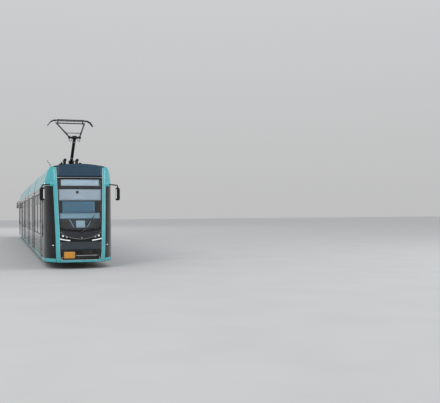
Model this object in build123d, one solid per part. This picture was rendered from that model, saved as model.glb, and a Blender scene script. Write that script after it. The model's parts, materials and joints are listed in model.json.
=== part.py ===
from build123d import *
import os

os.makedirs("parts", exist_ok=True)

# A low-floor city tram in five sections, millimetres. +Z is up, the floor z = 0 is at
# the wheel flange tips, Y runs along the tram and its front faces -Y. The middle
# section stands over the origin. The two cab sections, and the two hung sections
# without wheels, are the same shapes turned half round.

# Lengths along the tram
MID_LENGTH = 3900
HUNG_LENGTH = 6900
CAB_LENGTH = 8000
BELLOWS_GAP = 550

# Body cross-section
HALF_WIDTH = 1175
WALL = 70
SKIRT_Z = 230
CANT_Z = 2950
SHOULDER_Z = 3350
SHOULDER_IN = 110
CREST_Z = 3510
CREST_IN = 190
ARCH_RISE = 110
CEILING_Z = 3130
DECK_THICK = 90
CHEEK_THICK = 130
SEAL = 0.3

# Floor and gangway
FLOOR_Z = 380
FLOOR_THICK = 80
RAISED_FLOOR_Z = 490
GANGWAY_HALF = 560
GANGWAY_TOP = 2330
PORTAL_THICK = 60
TURNPLATE_R = 520
TURN_CLEAR = 6
KNUCKLE_R = 95
KNUCKLE_THICK = 50
PIVOT_PIN_R = 40

# Towing lug under the cab floor
TOW_AT = 340
TOW_HALF = 90
TOW_LOW = 240
TOW_BORE_R = 26
TOW_BORE_DEEP = 60

# Wheels
WHEEL_R = 295
FLANGE_H = 23
FLANGE_THICK = 32
WHEEL_WIDTH = 125
BACK_TO_BACK = 1380
DISH_RIM = 50
DISH_DEEP = 40
AXLE_R = 62
JOURNAL_R = 48
BEARING_CLEAR = 0.3

# Bogie
WHEELBASE = 1700
BOGIE_FROM_NOSE = 5000
BEAM_IN = 855
BEAM_OUT = 965
BEAM_LOW = 235
BEAM_TOP = 425
AXLEBOX_HALF = 125
CROSSBEAM_Y = 300
CROSSBEAM_HALF = 90
CROSSBEAM_LOW = 175
CROSSBEAM_TOP = 290
SPRING_R = 95
SPRING_Y = 210
MOTOR_R = 105
MOTOR_AT = 330
GEARCASE_HALF = 110
GEARCASE_LOW = 195
GEARCASE_TOP = 435
GEARCASE_CLEAR = 4
TRACK_BRAKE_X = 750
TRACK_BRAKE_HALF = 38
TRACK_BRAKE_LENGTH = 840
TRACK_BRAKE_LOW = 60
TRACK_BRAKE_TOP = 145
WHEEL_BOX_TOP = 705
WHEEL_BOX_PLATE = 40
WHEEL_BOX_HALF_LENGTH = 1290

# Nose of the cab
NOSE_LENGTH = 1250
MASK_DEPTH = 95
NOSE_WALL = 70

# Nose plan outlines: height, set-back of the face, half width of the face, its bulge
NOSE_SECTIONS = [
    (230, 70, 760, 90),
    (620, 0, 785, 105),
    (1180, 25, 795, 115),
    (3120, 345, 860, 110),
    (3700, 520, 880, 105),
]

# Windscreen outline: half widths and heights, with its sagging lower edge
SCREEN_HALF_TOP = 765
SCREEN_HALF_LOW = 715
SCREEN_TOP = 3108
SCREEN_LOW = 1385
SCREEN_SAG = 85
SCREEN_CORNER = 60
GLASS_THICK = 30

# Panels of the mask that stand proud: frame round it, nose panel, bumper, header
FRAME_WIDE = 75
FRAME_DEEP = 56
FRAME_PROUD = 10
FRAME_CORNER = 150
FRAME_TOP = 3490
PANEL_PROUD = 7
BUMPER_HALF = 706
BUMPER_LOW = 665
BUMPER_TOP = 925
SMILE_HALF = 700
SMILE_TOP = 1315
SMILE_DIP = 1030
SMILE_GAP = 50
HEADER_LOW = 3165
APRON_HALF = 660
APRON_LOW = 325
APRON_TOP = 645

# Side openings
WINDOW_LOW = 1120
WINDOW_TOP = 2640
WINDOW_CORNER = 90
DOOR_LOW = 300
DOOR_TOP = 2700
DOOR_THICK = 56
DOOR_GAP = 12
LEAF_FRAME = 95
LEAF_SILL = 260

# Openings of each section's sides, from its front end: kind, start, end
CAB_OPENINGS = [
    ("window", 1330, 1990),
    ("leaf", 2200, 3080),
    ("window", 3380, 5480),
    ("window", 5620, 7620),
]
HUNG_OPENINGS = [
    ("leaves", 560, 1860),
    ("window", 2120, 4780),
    ("leaves", 5040, 6340),
]
MID_OPENINGS = [
    ("window", 330, 1880),
    ("window", 2020, 3570),
]

# Roof boxes of each section, from its front end: start, end, half width, height
CAB_ROOF_BOXES = [
    (4700, 6100, 700, 330),
    (6350, 7600, 760, 300),
]
HUNG_ROOF_BOXES = [
    (700, 3000, 800, 340),
    (3400, 6100, 740, 280),
]
MID_ROOF_BOXES = [
    (450, 1850, 780, 330),
    (2100, 3450, 720, 280),
]

# Louvres in the flanks of the roof boxes
LOUVRE_DEEP = 14
LOUVRE_BARS = 3
LOUVRE_EDGE = 90

# Bellows
FOLDS = 6
FOLD_DEEP = 55

# Seats of each section, from its front end: start, side, facing, floor height
CAB_SEATS = [
    (3850, 1, 1, WHEEL_BOX_TOP),
    (4850, 1, -1, WHEEL_BOX_TOP),
    (5650, 1, 1, WHEEL_BOX_TOP),
    (3850, -1, 1, WHEEL_BOX_TOP),
    (4850, -1, -1, WHEEL_BOX_TOP),
    (5650, -1, 1, WHEEL_BOX_TOP),
]
HUNG_SEATS = [
    (2200, 1, 1, FLOOR_Z),
    (3300, 1, 1, FLOOR_Z),
    (2200, -1, 1, FLOOR_Z),
    (3300, -1, 1, FLOOR_Z),
]
MID_SEATS = [
    (750, 1, 1, WHEEL_BOX_TOP),
    (1750, 1, -1, WHEEL_BOX_TOP),
    (2600, 1, 1, WHEEL_BOX_TOP),
    (750, -1, 1, WHEEL_BOX_TOP),
    (1750, -1, -1, WHEEL_BOX_TOP),
    (2600, -1, 1, WHEEL_BOX_TOP),
]
SEAT_DEPTH = 430
SEAT_IN = 620
SEAT_SQUAB = 120
SEAT_BACK = 90
SEAT_BACK_HEIGHT = 760
SEAT_STAND = 330
POLE_R = 18

# Handrail poles of each section, from its front end: distance, side
CAB_POLES = [(3300, 1), (3300, -1), (7300, 1), (7300, -1)]
HUNG_POLES = [(480, 1), (1950, 1), (4950, -1), (6450, -1)]
MID_POLES = [(200, 1), (3700, -1)]
POLE_X = 500

# Driver's cab
DESK_START = 420
DESK_END = 1020
DESK_TOP = 1230
DESK_HALF = 640
PARTITION_AT = 2090
PARTITION_THICK = 45
DRIVER_AT = 1450
DISPLAY_HALF = 660
DISPLAY_LOW = 2800
DISPLAY_DEPTH = 90
DISPLAY_CLEAR = 25
HOOD_HALF = 600
HOOD_TOP = 1900
HOOD_AT = 640
HOOD_DEEP = 120

# Lamps on the nose: across, height, radius
LAMPS = [
    (600, 1128, 46),
    (480, 1092, 38),
    (670, 850, 28),
]
STRIP_START = 365
STRIP_END = 705
STRIP_Z = 975
STRIP_RISE = 58
STRIP_HEIGHT = 36
LAMP_PROUD = 6
LAMP_SINK = 45

# Mirrors
MIRROR_X = 1290
MIRROR_LOW = 2330
MIRROR_TOP = 2790
MIRROR_WIDE = 150
MIRROR_DEEP = 110
MIRROR_AT = 200
MIRROR_ARM_R = 22
MIRROR_ROOT_Z = 2900
MIRROR_ROOT_AT = 560
MIRROR_ROOT_X = 880

# Wiper
WIPER_PIVOT_X = 60
WIPER_PIVOT_Z = 1286
WIPER_TIP_X = 520
WIPER_TIP_Z = 1930
WIPER_WIDE = 26
WIPER_CLEAR = 5

# Pantograph: raised, as it runs
PAN_FROM_NOSE = 3450
PAN_PIVOT_Z = 3880
LOWER_ARM = 1532
LOWER_ANGLE = 147.6
LOWER_R = 57
SLEEVE_R = 66
UPPER_ARM = 1750
UPPER_ANGLE = 24.3
UPPER_R = 17
BRACE_R = 12
KNEE_HALF = 235
KNEE_R = 32
HEAD_HALF = 540
STRIP_HALF = 640
HORN_OUT = 240
HORN_DROP = 190
HORN_WIDE = 30
STRIP_SPREAD = 190
CARBON_WIDE = 60
CARBON_THICK = 34
PAN_BASE_HALF = 480
PAN_BASE_LENGTH = 1500
PAN_BASE_TUBE = 60
INSULATOR_R = 55
BARREL_R = 52
BARREL_X = 230
BARREL_LIFT = 85
EAR_THICK = 30
EAR_CLEAR = 12
PEDESTAL_HALF = 95
PEDESTAL_TOP = 3480

# Places worked out from the lengths
mid_end = MID_LENGTH / 2
hung_start = mid_end + BELLOWS_GAP
hung_end = hung_start + HUNG_LENGTH
cab_start = hung_end + BELLOWS_GAP
nose_y = -(cab_start + CAB_LENGTH)
deck_z = CEILING_Z + DECK_THICK
inner_half = HALF_WIDTH - WALL
axle_z = FLANGE_H + WHEEL_R
flange_r = WHEEL_R + FLANGE_H
pivot_near = mid_end + BELLOWS_GAP / 2
pivot_far = hung_end + BELLOWS_GAP / 2
bogie_far = -(nose_y + BOGIE_FROM_NOSE)


def slab(x0, x1, y0, y1, z0, z1):
    """A block between two corners."""
    at = Location(((x0 + x1) / 2, (y0 + y1) / 2, (z0 + z1) / 2))
    return at * Box(abs(x1 - x0), abs(y1 - y0), abs(z1 - z0))


def post(x, y, z0, z1, radius):
    """An upright cylinder."""
    return Location((x, y, (z0 + z1) / 2)) * Cylinder(radius, z1 - z0)


def bar_x(x0, x1, y, z, radius):
    """A cylinder across the tram."""
    at = Location(((x0 + x1) / 2, y, z), (0, 90, 0))
    return at * Cylinder(radius, abs(x1 - x0))


def rod(start, end, radius):
    """A round rod between two points."""
    start = Vector(*start)
    end = Vector(*end)
    plane = Plane(origin=start, z_dir=end - start)
    return extrude(plane * Circle(radius), (end - start).length)


def solid_of(shapes):
    """Joins shapes into one."""
    result = shapes[0]
    for shape in shapes[1:]:
        result = result + shape
    return result


def both_sides(shape):
    """A shape with its mirror image across the tram."""
    return [shape, mirror(shape, Plane.YZ)]


def turned(shape):
    """The same shape at the other end of the tram."""
    return shape.rotate(Axis.Z, 180)


def write(name, shapes):
    """Writes one node from one or more solids."""
    solids = []
    for shape in shapes:
        solids += list(shape.solids())
    export_step(Compound(children=solids), f"parts/{name}.step")


def body_outline(inset):
    """Cross-section of the body: upright sides, leaning shoulders, arched top."""
    half = HALF_WIDTH - inset
    shoulder = HALF_WIDTH - SHOULDER_IN - inset
    crest = HALF_WIDTH - CREST_IN - inset
    line = Polyline(
        (-crest, CREST_Z), (-shoulder, SHOULDER_Z), (-half, CANT_Z), (-half, SKIRT_Z),
        (half, SKIRT_Z), (half, CANT_Z), (shoulder, SHOULDER_Z), (crest, CREST_Z),
    )
    top = ThreePointArc((crest, CREST_Z), (0, CREST_Z + ARCH_RISE), (-crest, CREST_Z))
    return make_face(line + top)


def room_outline():
    """Cross-section of the hollow saloon."""
    half = inner_half
    shoulder = HALF_WIDTH - SHOULDER_IN - WALL * 2
    points = [
        (-half, SKIRT_Z - WALL), (half, SKIRT_Z - WALL), (half, CANT_Z),
        (shoulder, CEILING_Z), (-shoulder, CEILING_Z), (-half, CANT_Z),
    ]
    return make_face(Polyline(*points, close=True))


def along(face, y0, y1):
    """Runs a cross-section along the tram."""
    plane = Plane(origin=(0, y0, 0), x_dir=(1, 0, 0), z_dir=(0, -1, 0))
    return extrude(plane * face, -(y1 - y0))


def nose_plan(row, inset):
    """Plan outline of the nose at one height, from the face back to the full width."""
    height, setback, face_half, bulge = row
    half = HALF_WIDTH - inset
    corner = (face_half - inset, nose_y + setback + bulge + inset)
    tip = (0, nose_y + setback + inset)
    full = (half, nose_y + NOSE_LENGTH)
    face = ThreePointArc((-corner[0], corner[1]), tip, corner)
    side = TangentArc(full, corner, tangent=(0, -1))
    other = mirror(side, Plane.YZ)
    back = Line((-half, full[1]), full)
    return Plane(origin=(0, 0, height)) * make_face(face + side + other + back)


def nose_form(inset):
    """The nose as a solid, through its plan outlines."""
    return loft([nose_plan(row, inset) for row in NOSE_SECTIONS], ruled=True)


def nose_front(depth):
    """Everything ahead of a surface that lies a depth behind the face."""
    faces = []
    for height, setback, face_half, bulge in NOSE_SECTIONS:
        back = nose_y + setback + bulge + depth
        front = nose_y - WALL
        rect = Location((0, (front + back) / 2)) * Rectangle(HALF_WIDTH * 3, back - front)
        faces.append(Plane(origin=(0, 0, height)) * rect)
    return loft(faces, ruled=True)


def nose_y_at(x, z):
    """Where the face of the nose is, at a place across and a height."""
    rows = NOSE_SECTIONS
    for low, high in zip(rows, rows[1:]):
        if low[0] <= z <= high[0]:
            share = (z - low[0]) / (high[0] - low[0])
            mix = [a + (b - a) * share for a, b in zip(low, high)]
            return nose_y + mix[1] + mix[3] * (x / mix[2]) ** 2
    return nose_y


def screen_outline(margin):
    """Front outline of the windscreen, grown or shrunk by a margin."""
    low = SCREEN_LOW - margin
    top = SCREEN_TOP + margin
    half_low = SCREEN_HALF_LOW + margin
    half_top = SCREEN_HALF_TOP + margin
    sides = Polyline((-half_low, low), (-half_top, top), (half_top, top), (half_low, low))
    sag = ThreePointArc((half_low, low), (0, low - SCREEN_SAG), (-half_low, low))
    face = make_face(sides + sag)
    return fillet(face.vertices(), SCREEN_CORNER)


def front_cutter(face, y0, y1):
    """Runs a front outline back through the nose."""
    return along(face, y0, y1)


def opening_span(kind):
    """Height and corner of a side opening, by its kind."""
    if kind == "window":
        return WINDOW_LOW, WINDOW_TOP, WINDOW_CORNER
    return DOOR_LOW, DOOR_TOP, 0


def side_plate(y0, y1, z0, z1, corner, depth, outer=HALF_WIDTH):
    """A rounded plate in the right-hand side, from an outer face inwards."""
    plane = Plane(origin=(outer, (y0 + y1) / 2, (z0 + z1) / 2), x_dir=(0, 1, 0), z_dir=(1, 0, 0))
    outline = RectangleRounded(y1 - y0, z1 - z0, corner) if corner else Rectangle(y1 - y0, z1 - z0)
    return extrude(plane * outline, -depth)


def leaf_spans(kind, start, end):
    """The leaves of a door opening: one, or two that meet at its middle."""
    if kind == "leaf":
        return [(start, end)]
    middle = (start + end) / 2
    return [(start, middle - DOOR_GAP / 4), (middle + DOOR_GAP / 4, end)]


def side_cuts(front, openings):
    """What is cut out of the right-hand side."""
    cuts = []
    for kind, start, end in openings:
        low, top, corner = opening_span(kind)
        span = (front + start, front + end, low, top)
        cuts.append(side_plate(*span, corner, WALL * 6, HALF_WIDTH + WALL))
    return cuts


def door_leaves(front, openings):
    """Door leaves of the right-hand side, and their panes."""
    leaves = []
    panes = []
    for kind, start, end in openings:
        if kind == "window":
            continue
        low, top, corner = opening_span(kind)
        for y0, y1 in leaf_spans(kind, front + start, front + end):
            edge = side_plate(y0 + SEAL, y1 - SEAL, low + SEAL, top - SEAL, corner, DOOR_THICK)
            light = (y0 + LEAF_FRAME, y1 - LEAF_FRAME, low + LEAF_SILL, top - LEAF_FRAME)
            leaves.append(edge - side_plate(*light, 0, DOOR_THICK))
            pane = (light[0] + SEAL, light[1] - SEAL, light[2] + SEAL, light[3] - SEAL)
            panes.append(side_plate(*pane, 0, GLASS_THICK))
    return leaves, panes


def window_panes(front, openings):
    """Panes of the right-hand side's windows."""
    panes = []
    for kind, start, end in openings:
        if kind != "window":
            continue
        span = (front + start + SEAL, front + end - SEAL, WINDOW_LOW + SEAL, WINDOW_TOP - SEAL)
        panes.append(side_plate(*span, WINDOW_CORNER - SEAL, GLASS_THICK))
    return panes


def portal_posts(y0, y1):
    """Upright end wall beside the gangway, on the right-hand side."""
    return slab(GANGWAY_HALF, inner_half, y0, y1, FLOOR_Z, CEILING_Z)


def portal_header(y0, y1):
    """End wall over the gangway."""
    return slab(-GANGWAY_HALF, GANGWAY_HALF, y0, y1, GANGWAY_TOP, CEILING_Z)


def straight_side(y0, y1, front, openings, ends):
    """The right-hand side wall with its end posts, its openings cut."""
    wall = slab(inner_half, HALF_WIDTH, y0, y1, SKIRT_Z, CANT_Z)
    parts = [wall]
    room = along(room_outline(), y0, y1)
    for end0, end1 in ends:
        parts.append(portal_posts(end0, end1) & room)
    whole = solid_of(parts)
    for cut in side_cuts(front, openings):
        whole = whole - cut
    return whole


def roof_boxes(front, boxes):
    """Equipment boxes that stand on the roof deck."""
    made = []
    for start, end, half, height in boxes:
        box = slab(-half, half, front + start, front + end, deck_z, deck_z + height)
        top = box.faces().sort_by(Axis.Z)[-1]
        box = chamfer(top.edges(), height / 6)
        low = deck_z + height * 0.2
        high = deck_z + height * 0.75
        bar = (high - low) / (LOUVRE_BARS * 2 + 1)
        y0 = front + start + LOUVRE_EDGE
        y1 = front + end - LOUVRE_EDGE
        for x0, x1 in ((-half, LOUVRE_DEEP - half), (half - LOUVRE_DEEP, half)):
            for i in range(LOUVRE_BARS + 1):
                z = low + bar * 2 * i
                box = box - slab(x0, x1, y0, y1, z, z + bar)
        made.append(box)
    return made


def straight_roof(y0, y1, ends):
    """Roof deck between two cheeks, with its ceiling and end headers."""
    outer = along(body_outline(0), y0, y1) & slab(-HALF_WIDTH, HALF_WIDTH, y0, y1, CANT_Z, CREST_Z * 2)
    room = along(room_outline(), y0, y1)
    well_half = HALF_WIDTH - CREST_IN - CHEEK_THICK
    well = slab(-well_half, well_half, y0, y1, deck_z, CREST_Z * 2)
    cheeks = outer - room - well
    return solid_of([cheeks] + [portal_header(end0, end1) for end0, end1 in ends])


def wheel_box_outline():
    """Cross-section of the raised floor and the boxes over the wheels."""
    aisle = GANGWAY_HALF
    plate = WHEEL_BOX_PLATE
    half = inner_half
    upper = [(-half, WHEEL_BOX_TOP), (-aisle, WHEEL_BOX_TOP), (-aisle, RAISED_FLOOR_Z)]
    lower = [(-aisle - plate, RAISED_FLOOR_Z - plate), (-aisle - plate, WHEEL_BOX_TOP - plate)]
    lower.append((-half, WHEEL_BOX_TOP - plate))
    right_upper = [(-x, z) for x, z in reversed(upper)]
    right_lower = [(-x, z) for x, z in lower]
    points = upper + right_upper + list(reversed(right_lower)) + lower
    return make_face(Polyline(*points, close=True))


def floor_over_bogie(y):
    """Raised aisle and wheel boxes, closed at both ends."""
    half = WHEEL_BOX_HALF_LENGTH
    body = along(wheel_box_outline(), y - half, y + half)
    parts = [body]
    for side in (-1, 1):
        y0 = y + side * half
        y1 = y0 - side * WHEEL_BOX_PLATE
        for x0, x1 in ((-inner_half, -GANGWAY_HALF), (GANGWAY_HALF, inner_half)):
            parts.append(slab(x0, x1, y0, y1, FLOOR_Z - FLOOR_THICK, WHEEL_BOX_TOP))
        parts.append(slab(-inner_half, inner_half, y0, y1, FLOOR_Z - FLOOR_THICK, RAISED_FLOOR_Z))
    return solid_of(parts)


def low_floor(y0, y1):
    """Flat floor between the side walls."""
    return slab(-inner_half, inner_half, y0, y1, FLOOR_Z - FLOOR_THICK, FLOOR_Z)


def turnplate(pivot, edge):
    """Gangway plate with a round end about the pivot, and the pin under it."""
    low = FLOOR_Z - FLOOR_THICK
    plate = post(0, pivot, low, FLOOR_Z, TURNPLATE_R)
    neck = slab(-TURNPLATE_R, TURNPLATE_R, pivot, edge, low, FLOOR_Z)
    pin = post(0, pivot, low - KNUCKLE_THICK - SEAL, low, PIVOT_PIN_R)
    return solid_of([plate, neck, pin])


def turnplate_seat(shape, pivot):
    """Cuts the round recess in which a turnplate turns."""
    recess = post(0, pivot, 0, FLOOR_Z + FLOOR_THICK, TURNPLATE_R + TURN_CLEAR)
    return shape - recess


def knuckle(pivot, edge, inward):
    """Tongue under the gangway whose eye takes the pivot pin."""
    top = FLOOR_Z - FLOOR_THICK - SEAL
    low = top - KNUCKLE_THICK
    reach = edge + inward * (TURNPLATE_R + KNUCKLE_R * 2)
    eye = post(0, pivot, low, top, KNUCKLE_R)
    tongue = slab(-KNUCKLE_R, KNUCKLE_R, pivot, reach, low, top)
    root = slab(-KNUCKLE_R, KNUCKLE_R, reach, reach - inward * KNUCKLE_R, low, FLOOR_Z - FLOOR_THICK / 2)
    bore = post(0, pivot, low - SEAL, top + SEAL, PIVOT_PIN_R + BEARING_CLEAR)
    return solid_of([eye, tongue, root]) - bore


def tow_lug(y):
    """Block under the cab floor with a blind bore for a tow pin."""
    block = slab(-TOW_HALF, TOW_HALF, y - TOW_HALF, y + TOW_HALF, TOW_LOW, FLOOR_Z - FLOOR_THICK)
    return chamfer(block.edges().filter_by(Axis.Z), TOW_HALF / 4)


def seat(y, side, facing, stand_z):
    """A pair of seats on their stand, with a leaning back."""
    low = stand_z
    squab_low = low + (SEAT_STAND if stand_z == FLOOR_Z else SEAT_SQUAB)
    squab_top = squab_low + SEAT_SQUAB
    back_y = 0
    outline = Polyline(
        (back_y, squab_low), (SEAT_DEPTH, squab_low), (SEAT_DEPTH, squab_top),
        (back_y + SEAT_BACK, squab_top), (back_y + SEAT_BACK / 2, squab_top + SEAT_BACK_HEIGHT),
        (back_y - SEAT_BACK / 2, squab_top + SEAT_BACK_HEIGHT), close=True,
    )
    plane = Plane(origin=(SEAT_IN, 0, 0), x_dir=(0, 1, 0), z_dir=(1, 0, 0))
    shell = extrude(plane * make_face(outline), inner_half - SEAL - SEAT_IN)
    edge = SEAT_BACK
    stand = slab(SEAT_IN + edge, inner_half - edge, edge, SEAT_DEPTH - edge, low, squab_low)
    made = solid_of([shell, stand])
    if facing < 0:
        made = made.rotate(Axis.Z, 180)
        made = mirror(made, Plane.YZ)
    made = Location((0, y, 0)) * made
    return made if side > 0 else mirror(made, Plane.YZ)


def fittings(front, seats, poles, low_z):
    """Seats and handrail poles of one section."""
    made = [seat(front + y, side, facing, z) for y, side, facing, z in seats]
    for y, side in poles:
        made.append(post(side * POLE_X, front + y, low_z, CEILING_Z, POLE_R))
    return made


def cab_shell():
    """Outer wall of the whole cab section, hollow and open at its rear end."""
    back = -cab_start
    rear_from = nose_y + NOSE_LENGTH
    outer = nose_form(0) + slab(-HALF_WIDTH, HALF_WIDTH, rear_from, back, SKIRT_Z, CREST_Z * 1.05)
    outer = outer & along(body_outline(0), nose_y - WALL, back)
    inner = nose_form(NOSE_WALL) + slab(-inner_half, inner_half, rear_from, back, SKIRT_Z, CREST_Z * 1.05)
    room = along(room_outline(), nose_y, back)
    return outer - (inner & room)


def between(low_points, high_points):
    """A front outline between a lower and an upper edge, both from left to right."""
    sides = Polyline(low_points[0], high_points[0]), Polyline(low_points[-1], high_points[-1])
    edges = []
    for points in (low_points, high_points):
        edges.append(ThreePointArc(*points) if len(points) == 3 else Polyline(*points))
    return make_face([*edges, *sides])


def mask_panels():
    """Front outlines of the header, nose, bumper and apron panels."""
    low = SCREEN_LOW - SCREEN_SAG - SMILE_GAP
    smile = between(
        [(-SMILE_HALF, SMILE_TOP - SMILE_GAP), (0, SMILE_DIP), (SMILE_HALF, SMILE_TOP - SMILE_GAP)],
        [(-SMILE_HALF, SMILE_TOP), (0, low), (SMILE_HALF, SMILE_TOP)],
    )
    bumper = between(
        [(-BUMPER_HALF, BUMPER_LOW), (BUMPER_HALF, BUMPER_LOW)],
        [(-BUMPER_HALF, BUMPER_TOP), (BUMPER_HALF, BUMPER_TOP)],
    )
    apron = between(
        [(-APRON_HALF, APRON_LOW), (APRON_HALF, APRON_LOW)],
        [(-APRON_HALF, APRON_TOP), (APRON_HALF, APRON_TOP)],
    )
    half = SCREEN_HALF_TOP
    header = between(
        [(-half, HEADER_LOW), (half, HEADER_LOW)],
        [(-half, FRAME_TOP), (0, CREST_Z + ARCH_RISE / 2), (half, FRAME_TOP)],
    )
    return [smile, bumper, apron, header]


def frame_window():
    """Front outline of all that lies inside the frame, open at the top."""
    rows = [(height, face_half) for height, setback, face_half, bulge in NOSE_SECTIONS]
    low = SKIRT_Z + FRAME_WIDE
    right = [(rows[0][1] - FRAME_WIDE, low)]
    right += [(half - FRAME_WIDE, height) for height, half in rows[1:]]
    left = [(-x, z) for x, z in reversed(right)]
    face = make_face(Polyline(*right, *left, close=True))
    feet = face.vertices().sort_by(Axis.Y)[:2]
    return fillet(feet, FRAME_CORNER - FRAME_WIDE)


def mask_layer(proud):
    """The skin of the nose's face, standing proud of it and rooted in its wall."""
    return (nose_form(-proud) - nose_form(NOSE_WALL / 2)) & nose_front(FRAME_DEEP)


def raised(outline, proud):
    """A panel that stands proud of the nose inside a front outline."""
    return mask_layer(proud) & front_cutter(outline, nose_y - WALL, nose_y + NOSE_LENGTH / 2)


def frame_band():
    """The proud frame down both sides of the mask and across its foot."""
    y0 = nose_y - WALL * 2
    y1 = nose_y + NOSE_LENGTH
    above = slab(-HALF_WIDTH, HALF_WIDTH, y0, y1, FRAME_TOP, CREST_Z * 2)
    return mask_layer(FRAME_PROUD) - front_cutter(frame_window(), y0, y1) - above


def cab_front(shell):
    """Mask round the windscreen, down to the bumper, with its panels and lamp seats."""
    mask = shell & nose_front(MASK_DEPTH)
    mask = mask + frame_band()
    for outline in mask_panels():
        mask = mask + raised(outline, PANEL_PROUD)
    mask = mask - front_cutter(screen_outline(0), nose_y - WALL, nose_y + NOSE_LENGTH / 2)
    for cut in lamp_solids(SEAL, 0):
        mask = mask - cut
    return mask


def cab_screen(outer):
    """The windscreen: a thin layer of the nose inside its outline."""
    layer = nose_form(0) - nose_form(GLASS_THICK)
    layer = layer & nose_front(-GLASS_THICK)
    return layer & front_cutter(screen_outline(-SEAL), nose_y - WALL, nose_y + NOSE_LENGTH / 2)


def lamp_solids(grow, proud):
    """Round lamps and light strips of the face, both sides."""
    made = []
    for x, z, radius in LAMPS:
        face_y = nose_y_at(x, z)
        plane = Plane(origin=(x, face_y + LAMP_SINK, z), x_dir=(1, 0, 0), z_dir=(0, -1, 0))
        length = LAMP_SINK + (proud if proud else WALL * 3)
        made += both_sides(extrude(plane * Circle(radius + grow), length))
    low = STRIP_Z - STRIP_HEIGHT / 2 - grow
    top = STRIP_Z + STRIP_HEIGHT / 2 + grow
    middle = (STRIP_START + STRIP_END) / 2
    bend = STRIP_RISE / 4
    x0 = STRIP_START - grow
    x1 = STRIP_END + grow
    outline = between(
        [(x0, low), (middle, low + bend), (x1, low + STRIP_RISE)],
        [(x0, top), (middle, top + bend), (x1, top + STRIP_RISE)],
    )
    front = nose_y_at(middle, STRIP_Z) - (LAMP_SINK / 2 if proud else WALL * 3)
    strip = along(outline, front, nose_y_at(STRIP_END, STRIP_Z) + LAMP_SINK)
    if proud:
        strip = strip & nose_form(-proud)
    made += both_sides(strip)
    return [solid_of(made)] if grow else made


def mirrors():
    """Both rear-view mirrors on their arms."""
    y = nose_y + MIRROR_AT
    housing = slab(
        MIRROR_X - MIRROR_WIDE / 2, MIRROR_X + MIRROR_WIDE / 2,
        y, y + MIRROR_DEEP, MIRROR_LOW, MIRROR_TOP,
    )
    housing = fillet(housing.edges().filter_by(Axis.Z), MIRROR_DEEP / 3)
    hang = (MIRROR_X, y + MIRROR_DEEP / 2, MIRROR_TOP - MIRROR_ARM_R)
    elbow = (MIRROR_X, y + MIRROR_DEEP / 2, MIRROR_ROOT_Z)
    root_y = nose_y + MIRROR_ROOT_AT
    root = (MIRROR_ROOT_X, root_y, MIRROR_ROOT_Z)
    joint = Location(elbow) * Sphere(MIRROR_ARM_R)
    arm = solid_of([rod(hang, elbow, MIRROR_ARM_R), joint, rod(elbow, root, MIRROR_ARM_R)])
    arm = arm - nose_form(-SEAL)
    arm = arm.solids().sort_by(Axis.X)[-1]
    return both_sides(solid_of([housing, arm]))


def wiper():
    """Wiper arm and blade that lie on the windscreen."""
    pivot_y = nose_y_at(WIPER_PIVOT_X, WIPER_PIVOT_Z)
    tip_y = nose_y_at(WIPER_TIP_X, WIPER_TIP_Z)
    clear = WIPER_CLEAR + WIPER_WIDE
    boss_from = (WIPER_PIVOT_X, pivot_y - clear - WIPER_WIDE, WIPER_PIVOT_Z)
    boss = rod(boss_from, (WIPER_PIVOT_X, pivot_y + SEAL, WIPER_PIVOT_Z), WIPER_WIDE)
    arm_from = (WIPER_PIVOT_X, pivot_y - clear, WIPER_PIVOT_Z)
    arm_to = (WIPER_TIP_X, tip_y - clear, WIPER_TIP_Z)
    arm = rod(arm_from, arm_to, WIPER_WIDE / 2)
    return solid_of([boss, arm]) - nose_form(-SEAL)


def cab_fit(room):
    """Driver's desk, seat, display box and the wall behind the driver."""
    desk = slab(-DESK_HALF, DESK_HALF, nose_y + DESK_START, nose_y + DESK_END, FLOOR_Z, DESK_TOP)
    well_y = nose_y + (DESK_START + DESK_END) / 2
    well = slab(-DESK_HALF / 2, DESK_HALF / 2, well_y, nose_y + DESK_END, FLOOR_Z, DESK_TOP - WALL * 3)
    partition = slab(
        -inner_half, inner_half, nose_y + PARTITION_AT, nose_y + PARTITION_AT + PARTITION_THICK,
        FLOOR_Z, CEILING_Z - WALL,
    )
    seat_y = nose_y + DRIVER_AT
    half = SEAT_DEPTH / 2
    stand_top = FLOOR_Z + SEAT_STAND
    column = post(0, seat_y, FLOOR_Z, stand_top, SEAT_BACK)
    squab = slab(-half, half, seat_y - half, seat_y + half, stand_top, stand_top + SEAT_SQUAB)
    back_y = seat_y + half
    back = slab(-half, half, back_y - SEAT_BACK, back_y, stand_top, stand_top + SEAT_BACK_HEIGHT)
    hood_y = nose_y + HOOD_AT
    hood = slab(-HOOD_HALF, HOOD_HALF, hood_y, hood_y + HOOD_DEEP, DESK_TOP, HOOD_TOP)
    hood = chamfer(hood.edges().filter_by(Axis.Y).sort_by(Axis.Z)[-2:], HOOD_DEEP)
    row = NOSE_SECTIONS[-2]
    display_y = nose_y + row[1] + row[3] + GLASS_THICK + DISPLAY_CLEAR
    display_back = display_y + DISPLAY_DEPTH
    display = slab(-DISPLAY_HALF, DISPLAY_HALF, display_y, display_back, DISPLAY_LOW, CEILING_Z)
    driver = solid_of([column, squab, back])
    return [solid_of([desk - well, hood]), partition & room, driver, display]


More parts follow.
